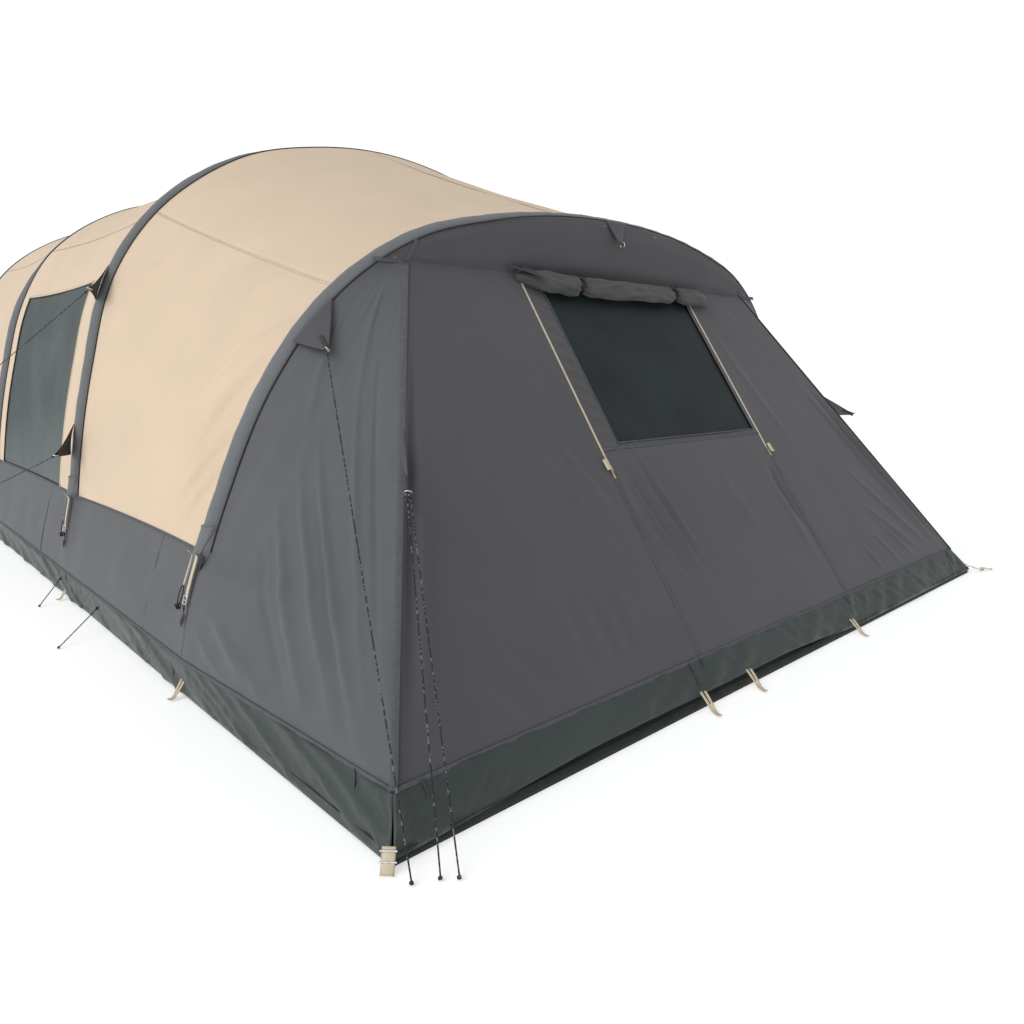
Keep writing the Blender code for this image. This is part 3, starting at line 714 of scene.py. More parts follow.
# ---- lower walls, skirts and groundsheet -----------------------------------------------------------
def make_side_walls(side, label):
    rear_y, lean, _ = BEAMS["rear"]
    y0, y1 = rear_y - JOIN, BEAMS["front"][0] + SLEEVE_R

    def wall(s, t):
        z = lerp(SKIRT_TOP - 0.004, WALL_TOP, t)
        y = lerp(rear_y + lean * z - JOIN, y1, s)
        return Vector((side * wall_x(y, z), y, z))

    def wall_relief(s, t):
        push = ripple(s, t, 4.4 * side, 34, 1.6, 0.005) + ripple(s, t, 1.4, 60, 6, 0.0018)
        return push * fade(s, t, 0.02, 0.15)
    # Painted light: the lower wall takes the lighter copy of the grey cloth.
    cloth(f"lower_wall_{label}", wall, 240, 24, LIT_COPY_GREY, (f"wall_{label}",), relief=wall_relief)

    def top(t):
        y = lerp(y0 - 0.08, y1 - 0.01, t)
        return Vector((side * (wall_x(y, WALL_TOP) + 0.001), y, WALL_TOP - 0.004))
    seam(f"wall_top_seam_{label}", top, 180, Vector((side, 0, 0.15)).normalized(), 0.012)
    for number, share in enumerate((0.075, 0.40, 0.74)):
        y = lerp(y0, y1, share)

        def upright(t):
            z = SKIRT_TOP + 0.01 + t * 0.33
            return Vector((side * wall_x(y, z), y, z))
        seam(f"wall_seam_{label}_{number}", upright, 10, Vector((side, 0, 0.2)), 0.008, thickness=0.0006,
             lift=0.0003)

    def skirt(s, t):
        z = lerp(0.006, SKIRT_TOP, t)
        start = REAR_Y + GABLE_RISE * z
        y = lerp(start, y1, s)
        corner = max(0.0, 1 - (y - start) / 1.1) if y < rear_y else 0.0
        return Vector((side * (lerp(HALF_WIDTH + 0.002, hip_x(z), corner) + 0.004 * (1 - t)), y, z))

    def skirt_relief(s, t):
        lean = s - 0.06 * t
        push = ripple(lean, t, 7.7 + side, 34, 0.5, 0.020) + ripple(lean, t, 2.2, 90, 1.0, 0.009)
        push += ripple(s - 0.01 * t, t, 4.2, 190, 2.0, 0.004)
        return max(-0.001, push * (0.50 + 0.50 * (1 - t)) + 0.004) * fade(s, t, 0.006, 0.02)
    cloth(f"skirt_cloth_{label}", skirt, 420, 16, SKIRT, (f"skirt_{label}",), relief=skirt_relief,
          thickness=0.0008)
    seam(f"skirt_seam_{label}", lambda t: skirt(lerp(0.002, 0.998, t), 1.0), 180,
         Vector((side, 0, 0.2)).normalized(), 0.012, lift=0.002)
    for number, share in enumerate((0.024, 0.205, 0.43, 0.74)):
        seam(f"skirt_patch_{label}_{number}", lambda t: skirt(share, lerp(0.05, 1.0, t)), 10,
             Vector((side, 0, 0.1)), 0.005, SKIRT, lift=0.003)


def make_groundsheet():
    """Tub floor: flat sheet with a low upstand that shows under the skirt."""
    x, y0, y1 = HALF_WIDTH - 0.004, REAR_Y + 0.004, FRONT_Y - 0.004

    def place(s, t):
        u, v = 2 * s - 1, 2 * t - 1
        rim = max(0.0, (max(abs(u), abs(v)) - 0.985) / 0.015)
        return Vector((u * x, lerp(y0, y1, t), 0.0012 + 0.028 * rim ** 1.5))
    cloth("groundsheet_tub", place, 160, 160, TUB, ("groundsheet",), thickness=0.0010)


for side, label in SIDES:
    make_side_walls(side, label)
make_groundsheet()


# ---- sloping rear wall -----------------------------------------------------------------------------
def rear_panel(name, node, low, high, left, right, seed, lines, nu=110, nv=110, height=0.006, hole=None):
    def place(s, t):
        z = lerp(low, high, t)
        return gable_point(lerp(left(z), right(z), s), z)

    def relief(s, t):
        push = ripple(s, t, seed, 2.6, 1.6, height) + ripple(s, t, seed + 4, 7, 4, height * 0.28)
        return (push + creases(s, t, lines)) * fade(s, t, 0.025, 0.025)
    cloth(name, place, nu, nv, GREY, (node,), relief=relief, hole=hole)


def gable_seam(name, start, end, steps, width, mat=GREY_SEAM, out=0.0, **more):
    """Straight ribbon on the sloping rear wall between two (x, z) places."""
    seam(name, lambda t: gable_point(lerp(start[0], end[0], t), lerp(start[1], end[1], t), out), steps, GABLE_OUT,
         width, mat, **more)


WINDOW_LEFT, WINDOW_RIGHT = -0.430, 0.500
WINDOW_LOW, WINDOW_HIGH = 0.786, 1.350


def window_hole(s, t):
    x = lerp(-WINDOW_SEAM_X, WINDOW_SEAM_X, s)
    z = lerp(WINDOW_BASE, GABLE_SEAM, t)
    return WINDOW_LEFT < x < WINDOW_RIGHT and WINDOW_LOW < z < WINDOW_HIGH


# Creases of the rear wall's panels, as shares of each panel: start, end, width and depth.
LEFT_LINES = (((0.045, 0.80), (0.035, 0.03), 0.016, -0.019), ((0.085, 0.62), (0.075, 0.03), 0.020, 0.013),
              ((0.62, 0.58), (0.94, 0.26), 0.026, 0.013), ((0.70, 0.60), (1.00, 0.24), 0.018, 0.011),
              ((0.66, 0.48), (0.88, 0.28), 0.014, -0.008), ((0.72, 0.20), (0.74, 0.01), 0.012, 0.011),
              ((0.79, 0.22), (0.85, 0.01), 0.013, 0.013), ((0.62, 0.24), (0.69, 0.02), 0.012, 0.011),
              ((0.54, 0.26), (0.60, 0.02), 0.012, 0.008), ((0.20, 0.98), (0.55, 0.60), 0.030, 0.006),
              ((0.84, 0.92), (0.95, 0.62), 0.018, 0.008), ((0.22, 0.12), (0.40, 0.02), 0.014, 0.008),
              ((0.28, 0.16), (0.52, 0.03), 0.014, 0.008))
CENTRE_LINES = (((0.00, 0.98), (0.08, 0.40), 0.014, 0.016), ((0.07, 1.00), (0.15, 0.45), 0.012, -0.011),
                ((0.11, 1.00), (0.215, 0.26), 0.012, 0.018), ((0.16, 1.00), (0.25, 0.40), 0.012, 0.011),
                ((0.03, 0.70), (0.13, 0.20), 0.014, 0.010), ((0.94, 0.82), (0.975, 0.40), 0.016, -0.019),
                ((0.58, 0.85), (0.66, 0.40), 0.030, 0.006), ((0.90, 0.70), (0.94, 0.20), 0.020, 0.008))
RIGHT_LINES = (((0.80, 0.66), (0.925, 0.02), 0.024, 0.018), ((0.89, 0.66), (0.955, 0.02), 0.014, -0.018),
               ((0.95, 0.62), (0.985, 0.05), 0.010, 0.012), ((0.50, 0.24), (0.76, 0.03), 0.016, 0.012),
               ((0.54, 0.17), (0.66, 0.02), 0.012, 0.011), ((0.44, 0.14), (0.52, 0.01), 0.012, 0.009),
               ((0.60, 0.36), (0.85, 0.04), 0.018, 0.012), ((0.10, 0.90), (0.30, 0.40), 0.030, 0.006),
               ((0.30, 0.12), (0.36, 0.01), 0.010, 0.007))
STRIP_LINES = tuple(((0.004, 0.12 + 0.085 * k), (0.088, 0.04 + 0.085 * k), 0.009, 0.011) for k in range(10))
STRIP_LINES += (((0.975, 0.80), (0.995, 0.20), 0.006, 0.004),)

def make_rear_wall():
    seam_x = WINDOW_SEAM_X
    foot = SKIRT_TOP - 0.003
    left, right = (lambda z: -seam_x), (lambda z: seam_x)
    rear_panel("rear_cloth_left", "rear_panel_left", foot, GABLE_SEAM, lambda z: -hip_x(z), left, 1.1, LEFT_LINES)
    rear_panel("rear_cloth_right", "rear_panel_right", foot, GABLE_SEAM, right, hip_x, 6.3, RIGHT_LINES)
    rear_panel("rear_cloth_centre", "rear_panel_centre", foot, WINDOW_BASE, left, right, 3.7, CENTRE_LINES,
               nv=80, height=0.004)
    rear_panel("rear_window_surround", "rear_window", WINDOW_BASE, GABLE_SEAM, left, right, 2.9, STRIP_LINES,
               nu=150, nv=90, height=0.003, hole=window_hole)

    def pane(s, t):
        x = lerp(WINDOW_LEFT - 0.012, WINDOW_RIGHT + 0.012, s)
        return gable_point(x, lerp(WINDOW_LOW - 0.010, WINDOW_HIGH + 0.010, t), -0.004)

    def pane_relief(s, t):
        return ripple(s, t, 8.8, 2.2, 2.0, 0.005) * fade(s, t, 0.1, 0.1)
    cloth("rear_window_pane", pane, 50, 40, REAR_FILM, relief=pane_relief)
    corners = [(WINDOW_LEFT, WINDOW_HIGH), (WINDOW_LEFT, WINDOW_LOW), (WINDOW_RIGHT, WINDOW_LOW),
               (WINDOW_RIGHT, WINDOW_HIGH)]
    for part, (start, end) in enumerate(zip(corners, corners[1:])):
        gable_seam(f"window_hem_{part}", start, end, 15, 0.006, out=0.0008)

    def skirt(s, t):
        lift = 0.020 * fade(min(1.0, s / 0.66), 0.5, 0.30, 0.4)
        z = lerp(0.012 + lift, SKIRT_TOP, t)
        return gable_point(lerp(-hip_x(z), hip_x(z), s), z, 0.010 * (1 - t))

    def skirt_relief(s, t):
        push = ripple(s - 0.05 * t, t, 5.5, 30, 0.9, 0.016) + ripple(s + 0.02 * t, t, 9.1, 80, 2.0, 0.007)
        corner = math.exp(-s / 0.05) + math.exp(-abs(s - 0.66) / 0.02) + math.exp(-(1 - s) / 0.06)
        push += ripple(s - 0.035 * t, t, 2.7, 150, 1.0, 0.012) * min(1.0, corner)
        return max(-0.002, push * (0.45 + 0.55 * (1 - t)) + 0.003) * fade(s, t, 0.008, 0.03)
    cloth("skirt_cloth_rear", skirt, 420, 24, SKIRT, ("skirt_rear",), relief=skirt_relief, thickness=0.0008)
    for number, x in enumerate((-1.66, -0.605, -0.545, 0.505, 1.655)):
        gable_seam(f"skirt_patch_rear_{number}", (x, 0.055), (x, SKIRT_TOP), 10, 0.006, SKIRT, 0.006, lift=0.002)

    def tub_edge(s, t):
        z = lerp(0.001, 0.060, t)
        return gable_point(lerp(-hip_x(z), hip_x(z), s) * 0.996, z, 0.0)
    cloth("groundsheet_edge", tub_edge, 200, 8, TUB,
          relief=lambda s, t: ripple(s, t, 4.1, 50, 1.5, 0.003) * fade(s, t, 0.01, 0.3) - 0.003)
    make_band()
    make_rear_seams(seam_x)


def band_chord():
    return leg_point("rear", GABLE_SEAM, -1, 0.0, -JOIN)


def make_band():
    start = angle_at_height("rear", GABLE_SEAM + 0.004, PANEL_OUT)
    chord_y = band_chord().y

    def place(s, t):
        top = arch_point("rear", lerp(start, math.pi - start, s), PANEL_OUT, -JOIN)
        return Vector((top.x * 0.995, chord_y, GABLE_SEAM)).lerp(top, t)

    def relief(s, t):
        return (ripple(s, t, 3.3, 9, 1.4, 0.007) + 0.010) * fade(s, t, 0.12, 0.25)
    cloth("rear_band_cloth", place, 150, 16, GREY, ("rear_band",), relief=relief)


# Long folds of the corner panels, fanning from the beam down towards the pegged corner.
CORNER_LINES = (((0.54, 0.58), (0.10, 0.01), 0.020, 0.016), ((0.62, 0.52), (0.19, 0.01), 0.018, 0.014),
                ((0.50, 0.50), (0.15, 0.02), 0.014, -0.010), ((0.70, 0.44), (0.32, 0.01), 0.020, 0.014),
                ((0.74, 0.34), (0.40, 0.01), 0.014, -0.008), ((0.93, 0.16), (0.46, 0.00), 0.018, 0.010),
                ((0.84, 0.14), (0.60, 0.01), 0.016, 0.008), ((0.96, 0.10), (0.74, 0.01), 0.014, 0.007),
                ((0.34, 0.72), (0.09, 0.03), 0.018, 0.009), ((0.22, 0.80), (0.05, 0.05), 0.014, -0.007),
                ((0.40, 0.98), (0.30, 0.60), 0.030, 0.006), ((0.75, 0.90), (0.60, 0.55), 0.030, 0.005))


def hip_point(side, z):
    return Vector((side * hip_x(z), REAR_Y + GABLE_RISE * z, z))


def make_corner(side, label):
    def place(s, t):
        z = lerp(SKIRT_TOP - 0.003, GABLE_SEAM, t)
        leg = leg_point("rear", z, side, PANEL_OUT, -JOIN)
        if z < WALL_TOP:
            leg.x = side * lerp(abs(leg.x), wall_x(leg.y, z), min(1.0, (WALL_TOP - z) / 0.05))
        return hip_point(side, z).lerp(leg, s)

    def relief(s, t):
        push = ripple(s, t, 6.1 * side, 3.4, 1.0, 0.008) + ripple(s + 0.6 * t, t, 1.9, 12, 1.2, 0.006)
        return (push * (1 - 0.85 * t) + creases(s, t, CORNER_LINES)) * fade(s, t, 0.04, 0.02)
    # Painted light: the corner panel takes the lighter copy of the grey cloth.
    cloth(f"corner_cloth_{label}", place, 120, 120, LIT_COPY_GREY, (f"corner_panel_{label}",), relief=relief)
    seam(f"hip_seam_{label}", lambda t: hip_point(side, lerp(SKIRT_TOP, GABLE_SEAM, t)), 60,
         Vector((side * 0.62, -0.72, 0.35)).normalized(), 0.020, lift=0.0015)
    low = Vector((side * hip_x(GABLE_SEAM), band_chord().y, GABLE_SEAM))
    high = leg_point("rear", GABLE_SEAM + 0.075, side, PANEL_OUT, -JOIN)
    seam(f"hip_seam_top_{label}", lambda t: low.lerp(high, t), 6, Vector((0, -1, 0.1)), 0.016, lift=0.004)


def make_rear_seams(seam_x):
    y = band_chord().y - 0.002
    seam("rear_cross_seam", lambda t: Vector((lerp(-1.17, 1.17, t), y, GABLE_SEAM)), 60,
         Vector((0, -1, 0.4)).normalized(), 0.016, lift=0.0015)
    for side, label in SIDES:
        x = side * seam_x
        gable_seam(f"rear_seam_{label}", (x, SKIRT_TOP), (x, 0.70), 30, 0.012)
        gable_seam(f"window_zip_tape_{label}", (x, 0.672), (x, 1.385), 40, 0.009, WEBBING, thickness=0.0018)
    gable_seam("window_base_seam", (-seam_x, WINDOW_BASE), (seam_x, WINDOW_BASE), 20, 0.012)
    x = hip_x(SKIRT_TOP)
    gable_seam("skirt_seam_rear", (-x, SKIRT_TOP), (x, SKIRT_TOP), 80, 0.012, lift=0.002)


make_rear_wall()
for side, label in SIDES:
    make_corner(side, label)


# ---- rolled window cover, ties, zip pulls ----------------------------------------------------------
ROLL_DROP = 0.046             # the roll's middle below the gable's top seam
ROLL_THICK, ROLL_THIN = 0.036, 0.027   # its radius at the left and at the right
TIE_X = (-0.235, 0.40)


def roll_centre(x, radius, rise=0.0):
    return gable_point(x, GABLE_SEAM - ROLL_DROP + rise) + GABLE_OUT * (radius * 0.85 + 0.004)


def make_roll():
    low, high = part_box("window_cover_roll")
    x0, x1 = low[0], high[0]
    steps = int(200 * DETAIL)
    rings = []
    for i in range(steps + 1):
        k = i / steps
        x = lerp(x0, x1, k)
        tie = max(math.exp(-((x - t) / 0.026) ** 2) for t in TIE_X)
        radius = lerp(ROLL_THICK, ROLL_THIN, k) * (1.0 - 0.34 * tie)
        radius *= lerp(0.30, 1.0, min(1.0, k / 0.10) ** 0.7) * lerp(0.35, 1.0, min(1.0, (1 - k) / 0.06) ** 0.6)
        centre = roll_centre(x, radius, 0.022 * max(0.0, 1 - k / 0.10))
        ring = []
        for turn in turns(48):
            fold = 1 + 0.07 * math.sin(turn * 3 + k * 9.0)
            fold += math.sin(turn * 9 + 5 * math.sin(x * 9)) * (0.060 + 0.18 * tie)
            fold += 0.24 * noise.noise(Vector((k * 13.0, math.cos(turn) * 1.6, math.sin(turn) * 1.6)))
            lower = max(0.0, -math.cos(turn))
            reach = radius * fold + lower * 0.018 * (1 - tie) * min(1.0, k / 0.12)
            depth = radius * 0.92 * fold
            ring.append(centre + GABLE_UP * reach * math.cos(turn) + GABLE_OUT * depth * math.sin(turn))
        rings.append(ring)
    obj = ring_mesh("window_cover_rolled", rings, ROLL_GREY, replaced=("window_cover_roll",))
    seam("roll_sewn_edge", lambda t: gable_point(lerp(x0 + 0.02, x1 - 0.02, t),
                                                 GABLE_SEAM - 0.006 + 0.003 * math.sin(9 * t), 0.012),
         24, GABLE_OUT, 0.018, GREY, thickness=0.003)

    def ear(s, t):
        """Corner of the cover folded back over the roll's left end."""
        top = gable_point(lerp(x0 - 0.035, x0 + 0.070, s), GABLE_SEAM + 0.002, 0.030)
        return top.lerp(gable_point(x0 + 0.080, GABLE_SEAM - 0.078, 0.082), t * 0.96)
    # Painted shade: the folded corner is cut from the darker shadow-side grey.
    cloth("roll_folded_corner", ear, 20, 20, SHADOW_SIDE_GREY, thickness=0.0015,
          relief=lambda s, t: 0.006 * math.sin(3 * math.pi * s) * (1 - t) + 0.004 * math.sin(math.pi * t))
    for number, x in enumerate(TIE_X):
        make_tie(number, x, lerp(ROLL_THICK, ROLL_THIN, (x - x0) / (x1 - x0)) * 0.74)


def make_tie(number, x, radius):
    """Cord tied round the roll: a double loop, a knot in front and three short ends."""
    centre = roll_centre(x, radius)
    for strand, shift in enumerate((-0.004, 0.004)):
        points = [centre + GABLE_UP * (radius + 0.006) * math.cos(a) + GABLE_OUT * (radius + 0.003) * math.sin(a)
                  + Vector((shift + 0.004 * math.sin(a * 2), 0, 0)) for a in turns(28)]
        tube(f"roll_tie_{number}_{strand}", points, 0.0026, PLASTIC, cyclic=True)
    front = centre + GABLE_OUT * (radius + 0.006) + GABLE_UP * 0.012
    for end, (dx, dz) in enumerate(((-0.022, 0.020), (0.012, 0.034), (0.006, -0.040))):
        points = along(lambda t: front + Vector((dx * t, 0, 0)) + GABLE_UP * (dz * t)
                       + GABLE_OUT * 0.004 * math.sin(6 * t), 6)
        tube(f"roll_tie_end_{number}_{end}", points, 0.0028, PLASTIC)
    torus(f"roll_tie_knot_{number}", front, GABLE_OUT, 0.0045, 0.0034, PLASTIC)


def make_zip_pulls():
    """Sliders keep their solid; each gets a beige pull of webbing on the same body."""
    for label, aside, above, width in (("left", -0.020, 0.060, 0.027), ("right", 0.010, 0.045, 0.022)):
        paint(f"window_zip_slider_{label}", SLIDER_METAL)
        low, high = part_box(f"window_zip_slider_{label}")
        foot = gable_point((low[0] + high[0]) / 2 + aside, low[2] + above, 0.010)
        seam(f"zip_pull_{label}", lambda t: foot - GABLE_UP * 0.044 * t + GABLE_OUT * 0.003 * t ** 2, 8,
             GABLE_OUT, width, WEBBING, body=f"window_zip_{label}", thickness=0.003)
    paint("door_zip_slider", SLIDER_METAL)
    low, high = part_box("door_zip_slider")
    top = Vector(((low[0] + high[0]) / 2, high[1] + 0.001, low[2] + 0.004))
    seam("door_zip_pull", lambda t: top - UP * 0.045 * t, 8, FORWARD, 0.018, WEBBING, body="door_zip",
         thickness=0.003)


make_roll()
make_zip_pulls()


# ---- guy flaps with rings --------------------------------------------------------------------------
def make_flap(node, first, second, tip, mat):
    edge = (second - first).normalized()

    def place(s, t):
        return first.lerp(second, s).lerp(tip + edge * (s - 0.5) * 0.020, t ** 0.85)

    def relief(s, t):
        return 0.006 * math.sin(math.pi * s) * (1 - t) - 0.004 * math.sin(math.pi * t)
    cloth(f"{node}_cloth", place, 14, 18, mat, (node,), slot="grey_fabric", relief=relief, thickness=0.0022)
    inward = (first.lerp(second, 0.5) - tip).normalized()
    normal = (second - first).cross(tip - first).normalized()
    seam(f"{node}_webbing", lambda t: tip + inward * lerp(0.05, -0.006, t) + normal * 0.003, 8, normal, 0.014,
         BLACK_WEBBING, thickness=0.002)
    torus(f"{node}_ring", tip - inward * 0.010, edge, 0.011, 0.0022, METAL)


def beam_skin(beam, height, out=SLEEVE_R + 0.004, shift_y=0.0):
    return leg_point(beam, height, -1, out, shift_y)


RIDGE = BEAMS["rear"][0] + BEAMS["rear"][1] * REAR_RADII[-1]
RIDGE_TOP = REAR_RADII[-1] + SLEEVE_R
right_edge = hip_point(1, 0.92), hip_point(1, 0.80)
right_middle = right_edge[0].lerp(right_edge[1], 0.5)
FLAPS = {
    "guy_flap_arch": (beam_skin("rear", 1.28, 0.022, -0.044), beam_skin("rear", 1.14, 0.034, -0.036),
                      local(-1.385, 0.925, 1.120)),
    "guy_flap_corner_left": (hip_point(-1, 0.92), hip_point(-1, 0.80), local(-1.410, 0.469, 0.728)),
    "guy_flap_corner_right": (right_edge[0].lerp(right_middle, 0.15), right_edge[1].lerp(right_middle, 0.15),
                              right_middle.lerp(local(1.450, 0.490, 0.800), 0.72)),
    "guy_flap_ridge": (Vector((-0.060, RIDGE - 0.046, RIDGE_TOP - 0.020)),
                       Vector((0.060, RIDGE - 0.046, RIDGE_TOP - 0.020)),
                       Vector((0.000, RIDGE - 0.080, RIDGE_TOP - 0.105))),
    "guy_flap_middle_high": (beam_skin("middle", 1.52), beam_skin("middle", 1.36), local(-1.600, 2.610, 1.400)),
    "guy_flap_middle_low": (beam_skin("middle", 0.80), beam_skin("middle", 0.66), local(-1.800, 2.620, 0.675)),
}
# Painted shade: the flaps by the middle beam take the near-black piping cloth, for their inner sides in shadow; the
# others take the grey cloth.
for flap_name, flap in FLAPS.items():
    make_flap(flap_name, *flap, PIPING_AND_FLAP_SHADE if "middle" in flap_name else GREY)


# ---- webbing loops along the base, foot straps -----------------------------------------------------
def peg_loop(name, foot, out, reach=0.085, height=0.050, spread=0.008, width=0.009):
    """Folded strip of webbing from the skirt's hem to its peg end: two close legs and a turned tip."""
    out = out.normalized()
    aside = UP.cross(out).normalized()
    for number, side in enumerate((-1, 1)):
        def leg(t):
            p = foot + out * reach * t + aside * side * lerp(spread, 0.003, t ** 1.5)
            p.z = lerp(height, 0.005, min(1.0, t * 1.4)) + 0.004 * math.sin(math.pi * t)
            return p
        seam(f"{name}_leg_{number}", leg, 10, UP + out * 0.6, width, WEBBING, thickness=0.0015)

    def tip(t):
        a = math.pi * (t - 0.5)
        return foot + out * (reach + 0.004 * math.cos(a)) + aside * 0.006 * math.sin(a) + UP * (0.007 - foot.z)
    seam(f"{name}_tip", tip, 8, UP, 0.006, WEBBING, thickness=0.002)


def corner_buckle(side, label):
    """Wide webbing loop hanging from a rear corner, with the two bars of its buckle above it."""
    out = Vector((side, -1.0, 0)).normalized()
    aside = UP.cross(out).normalized()
    corner = Vector((side * (HALF_WIDTH - 0.002), REAR_Y + 0.008, 0))
    seam(f"corner_loop_{label}",
         lambda t: corner + out * lerp(0.004, 0.040, t) + UP * lerp(0.052, 0.004, min(1.0, t * 1.25)), 12,
         (out + UP * 0.5).normalized(), 0.031, WEBBING, thickness=0.002)
    for number, height in enumerate((0.046, 0.026)):
        spot = corner + out * (0.012 + 0.010 * number) + UP * height
        tube(f"corner_bar_{label}_{number}", along(lambda t: spot + aside * lerp(-0.019, 0.019, t), 6), 0.0026, METAL)


for number, x in enumerate((-0.62, -0.35, 0.43)):
    peg_loop(f"peg_loop_rear_{number}", Vector((x, REAR_Y + 0.012, 0.0)), Vector((-0.35, -1, 0)))
corner_buckle(-1, "left")
far_corner = Vector((HALF_WIDTH - 0.006, REAR_Y + 0.010, 0))
far_out = Vector((1.0, -0.60, 0)).normalized()
peg_loop("corner_loop_right", far_corner, far_out, reach=0.090, height=0.035, spread=0.034, width=0.014)
peg_loop("corner_tip_right", far_corner + far_out * 0.084, far_out, reach=0.060, height=0.014, spread=0.006,
         width=0.016)
torus("corner_ring_right", far_corner + far_out * 0.088 + UP * 0.008, UP, 0.010, 0.002, METAL)
for side, label in SIDES:
    for number, y in enumerate((1.20, 2.66, 4.61, 5.95)):
        peg_loop(f"peg_loop_{label}_{number}", Vector((side * (HALF_WIDTH + 0.002), REAR_Y + y, 0)),
                 Vector((side, -0.2, 0)), reach=0.055, height=0.06)


def foot_cuff(beam, side, label, on_wall):
    """Gathered end of the sleeve's cover: folds drawn down from the beam into a tail on the wall."""
    rings = []
    steps = 26
    for i in range(steps + 1):
        t = i / steps
        centre = on_wall(lerp(0.560, 0.350, t), 0.012 * t, -0.036 * (1 - t) ** 1.5)
        wide, deep = lerp(0.043, 0.009, t ** 0.8), lerp(0.043, 0.006, t ** 0.6)
        ring = []
        for turn in turns(40):
            fold = 1 + t * (0.22 * math.sin(turn * 5 + 2 * t) + 0.12 * math.sin(turn * 9 - 5 * t))
            fold += 0.03 * noise.noise(Vector((math.cos(turn) * 2, math.sin(turn) * 2, t * 5)))
            ring.append(centre + Vector((side * deep * math.cos(turn), wide * math.sin(turn), 0)) * fold)
        rings.append(ring)
    cuff = ring_mesh(f"foot_cuff_{beam}_{label}", rings, SLEEVE)


def foot_strap(beam, side, label):
    """Tensioner at a beam's foot: webbing from the sleeve's end to a ladder buckle, then a black strap."""
    start, lean, _ = BEAMS[beam]
    y = start + lean * 0.40
    end = f"{beam}_{label}"

    def on_wall(height, dy, lift):
        x = wall_x(y + dy, height) if height < WALL_TOP else abs(leg_point(beam, height, side, SLEEVE_R).x)
        return Vector((side * (x + lift), y + dy + lean * (height - 0.40), height))
    out = Vector((side, 0, 0.12)).normalized()
    foot_cuff(beam, side, label, on_wall)
    seam(f"foot_strap_{end}", lambda t: on_wall(lerp(0.475, 0.335, t), -0.036 + 0.010 * t, 0.012), 10, out,
         0.017, WEBBING, thickness=0.0015)
    rail = [on_wall(z, dy, 0.014) for z, dy in ((0.340, -0.036), (0.340, -0.016), (0.312, -0.014), (0.312, -0.034))]
    tube(f"foot_buckle_{end}", rail, 0.0028, METAL, cyclic=True)
    tube(f"foot_bar_{end}", [on_wall(0.326, dy, 0.015) for dy in (-0.036, -0.014)], 0.0028, METAL)
    points = along(lambda t: on_wall(lerp(0.318, 0.235, t), -0.024 + 0.004 * math.sin(t * 9.6), 0.010), 12)
    twist = along(lambda t: (out + Vector((0, 0.9 * math.sin(t * 6.6), 0))).normalized(), 12)
    ribbon(f"foot_black_{end}", points, twist, 0.013, BLACK_WEBBING, thickness=0.0015)
    seam(f"foot_tail_{end}", lambda t: on_wall(lerp(0.475, 0.355, t), 0.050 + 0.008 * t, 0.008), 8, out, 0.009,
         WEBBING)
    loop = [on_wall(0.322 + 0.032 * math.cos(a), 0.060 + 0.009 * math.sin(a), 0.010 + 0.004 * math.sin(a))
            for a in turns(20)]
    tube(f"foot_loop_{end}", loop, 0.0020, PLASTIC, slot="guy_cord", cyclic=True)
    centre = on_wall(0.284, 0.061, 0.011)
    tie = [centre + Vector((0.006 * side * math.cos(3 * a), 0.008 * math.sin(2 * a), 0.008 * math.cos(a + 0.5)))
           for a in turns(30)]
    tube(f"foot_knot_{end}", tie, 0.0026, PLASTIC, slot="guy_cord", cyclic=True)


for beam_name in BEAMS:
    for side, label in SIDES:
        foot_strap(beam_name, side, label)


# ---- front wall and door ---------------------------------------------------------------------------
def front_cloth(name, node, low, high, left, right, mat, seed, body="root", nu=40, nv=60):
    def place(s, t):
        z = lerp(low, high, t)
        return Vector((lerp(left(z), right(z), s), FRONT_FACE, z))

    def relief(s, t):
        return (ripple(s, t, seed, 2.5, 1.5, 0.007) + ripple(s, t, seed + 3, 8, 4, 0.002)) * fade(s, t, 0.1, 0.06)
    cloth(name, place, nu, nv, mat, (node,), body=body, relief=relief)


def front_seam(name, start, end, steps, width, mat, out=0.0, **more):
    """Straight ribbon on the front wall between two (x, z) places."""
    seam(name, lambda t: Vector((lerp(start[0], end[0], t), FRONT_FACE + out, lerp(start[1], end[1], t))), steps,
         FORWARD, width, mat, **more)


PANE_INSET = 0.22             # the door's pane from the door's sides
PANE_BASE, PANE_TOP = 1.0, 1.6


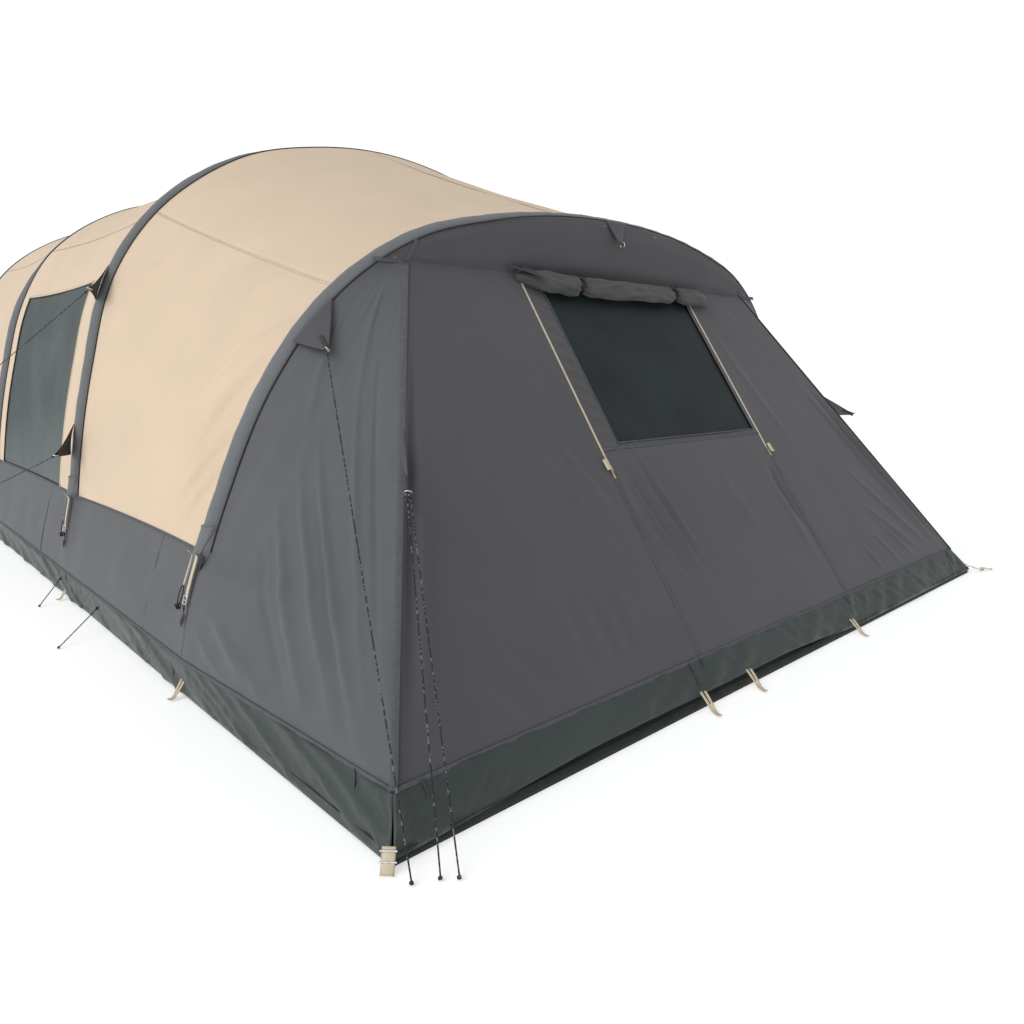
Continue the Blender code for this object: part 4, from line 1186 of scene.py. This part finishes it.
def make_front():
    x0, x1, z0, z1 = DOOR_LOW[0], DOOR_HIGH[0], DOOR_LOW[2], DOOR_HIGH[2]
    edge, head, foot = x1 + 0.004, z1 + 0.003, SKIRT_TOP - 0.003

    def right(z):
        return abs(leg_point("front", z, 1, -SLEEVE_R + 0.003).x)

    def left(z):
        return -right(z)
    front_cloth("front_cloth_left", "front_panel_left", foot, head, left, lambda z: -edge, BEIGE, 2.2)
    front_cloth("front_cloth_right", "front_panel_right", foot, head, lambda z: edge, right, BEIGE, 4.9)
    start = angle_at_height("front", head + 0.02, -SLEEVE_R)

    def top(s, t):
        p = arch_point("front", lerp(start, math.pi - start, s), -SLEEVE_R + 0.003)
        return Vector((p.x, FRONT_FACE, lerp(head, p.z, t)))
    cloth("front_cloth_top", top, 80, 20, BEIGE, ("front_panel_top",),
          relief=lambda s, t: ripple(s, t, 3, 6, 2, 0.006) * fade(s, t, 0.1, 0.2))
    front_cloth("front_skirt_cloth", "skirt_front", 0.015, SKIRT_TOP, left, right, SKIRT, 7.0, nu=160, nv=10)
    front_cloth("door_cloth", "door", z0, z1, lambda z: x0, lambda z: x1, GREY, 5.5, body="door")
    xa, xb = x0 + PANE_INSET, x1 - PANE_INSET

    def pane(s, t):
        return Vector((lerp(xa, xb, s), FRONT_FACE + 0.003, lerp(PANE_BASE, PANE_TOP, t)))
    cloth("door_pane", pane, 20, 20, SIDE_FILM, body="door")
    corners = ((xa, PANE_BASE), (xb, PANE_BASE), (xb, PANE_TOP), (xa, PANE_TOP), (xa, PANE_BASE))
    for number, (start, end) in enumerate(zip(corners, corners[1:])):
        front_seam(f"door_pane_hem_{number}", start, end, 10, 0.018, BEIGE_SEAM, 0.004, body="door")
    for side, label in SIDES:
        x = side * (edge + 0.008)
        front_seam(f"door_zip_tape_{label}", (x, z0), (x, z1), 30, 0.015, WEBBING, thickness=0.0008, lift=0.0001)
    front_seam("door_zip_tape_head", (-edge, z1 + 0.010), (edge, z1 + 0.010), 20, 0.015, WEBBING)


make_front()


# ---- floor and light -------------------------------------------------------------------------------
WORLD_LIGHT = 0.52
KEY_LIGHT = 1.68
KEY_SPREAD = 55               # degrees across the key light, for soft shadows
KEY_FROM = (-0.82, -0.06, 0.62)
FLOOR_GLOW = 0.40
FLOOR_HALF = 60.0
SKY_COLOUR = (0.96, 0.98, 1.0, 1)
BACKDROP_LIGHT = 1.05         # enough to show white behind the tent


def make_stage():
    mesh = bpy.data.meshes.new("floor")
    corners = [(-1, -1), (1, -1), (1, 1), (-1, 1)]
    mesh.from_pydata([(x * FLOOR_HALF, y * FLOOR_HALF, 0) for x, y in corners], [], [(0, 1, 2, 3)])
    floor = bpy.data.objects.new("floor", mesh)
    floor.location.z = -0.0004
    white = Material("floor_white", (0.80, 0.80, 0.80), 0.9)
    white.surface({"Emission Color": (1, 1, 1, 1), "Emission Strength": FLOOR_GLOW})
    mesh.materials.append(white.data)
    bpy.context.collection.objects.link(floor)
    world = bpy.data.worlds.new("studio")
    world.use_nodes = True
    nodes, links = world.node_tree.nodes, world.node_tree.links
    soft, backdrop = nodes["Background"], nodes.new("ShaderNodeBackground")
    for light, colour, strength in ((soft, SKY_COLOUR, WORLD_LIGHT), (backdrop, (1, 1, 1, 1), BACKDROP_LIGHT)):
        light.inputs["Color"].default_value = colour
        light.inputs["Strength"].default_value = strength
    rays = nodes.new("ShaderNodeLightPath")
    mix = nodes.new("ShaderNodeMixShader")
    links.new(rays.outputs["Is Camera Ray"], mix.inputs["Fac"])
    links.new(soft.outputs["Background"], mix.inputs[1])
    links.new(backdrop.outputs["Background"], mix.inputs[2])
    links.new(mix.outputs["Shader"], nodes["World Output"].inputs["Surface"])
    bpy.context.scene.world = world
    key = bpy.data.lights.new("key", "SUN")
    key.angle = math.radians(KEY_SPREAD)
    key.energy = KEY_LIGHT
    lamp = bpy.data.objects.new("key", key)
    lamp.rotation_euler = Vector(KEY_FROM).to_track_quat("Z", "Y").to_euler()
    bpy.context.collection.objects.link(lamp)


make_stage()
bpy.context.scene.view_settings.view_transform = "Standard"
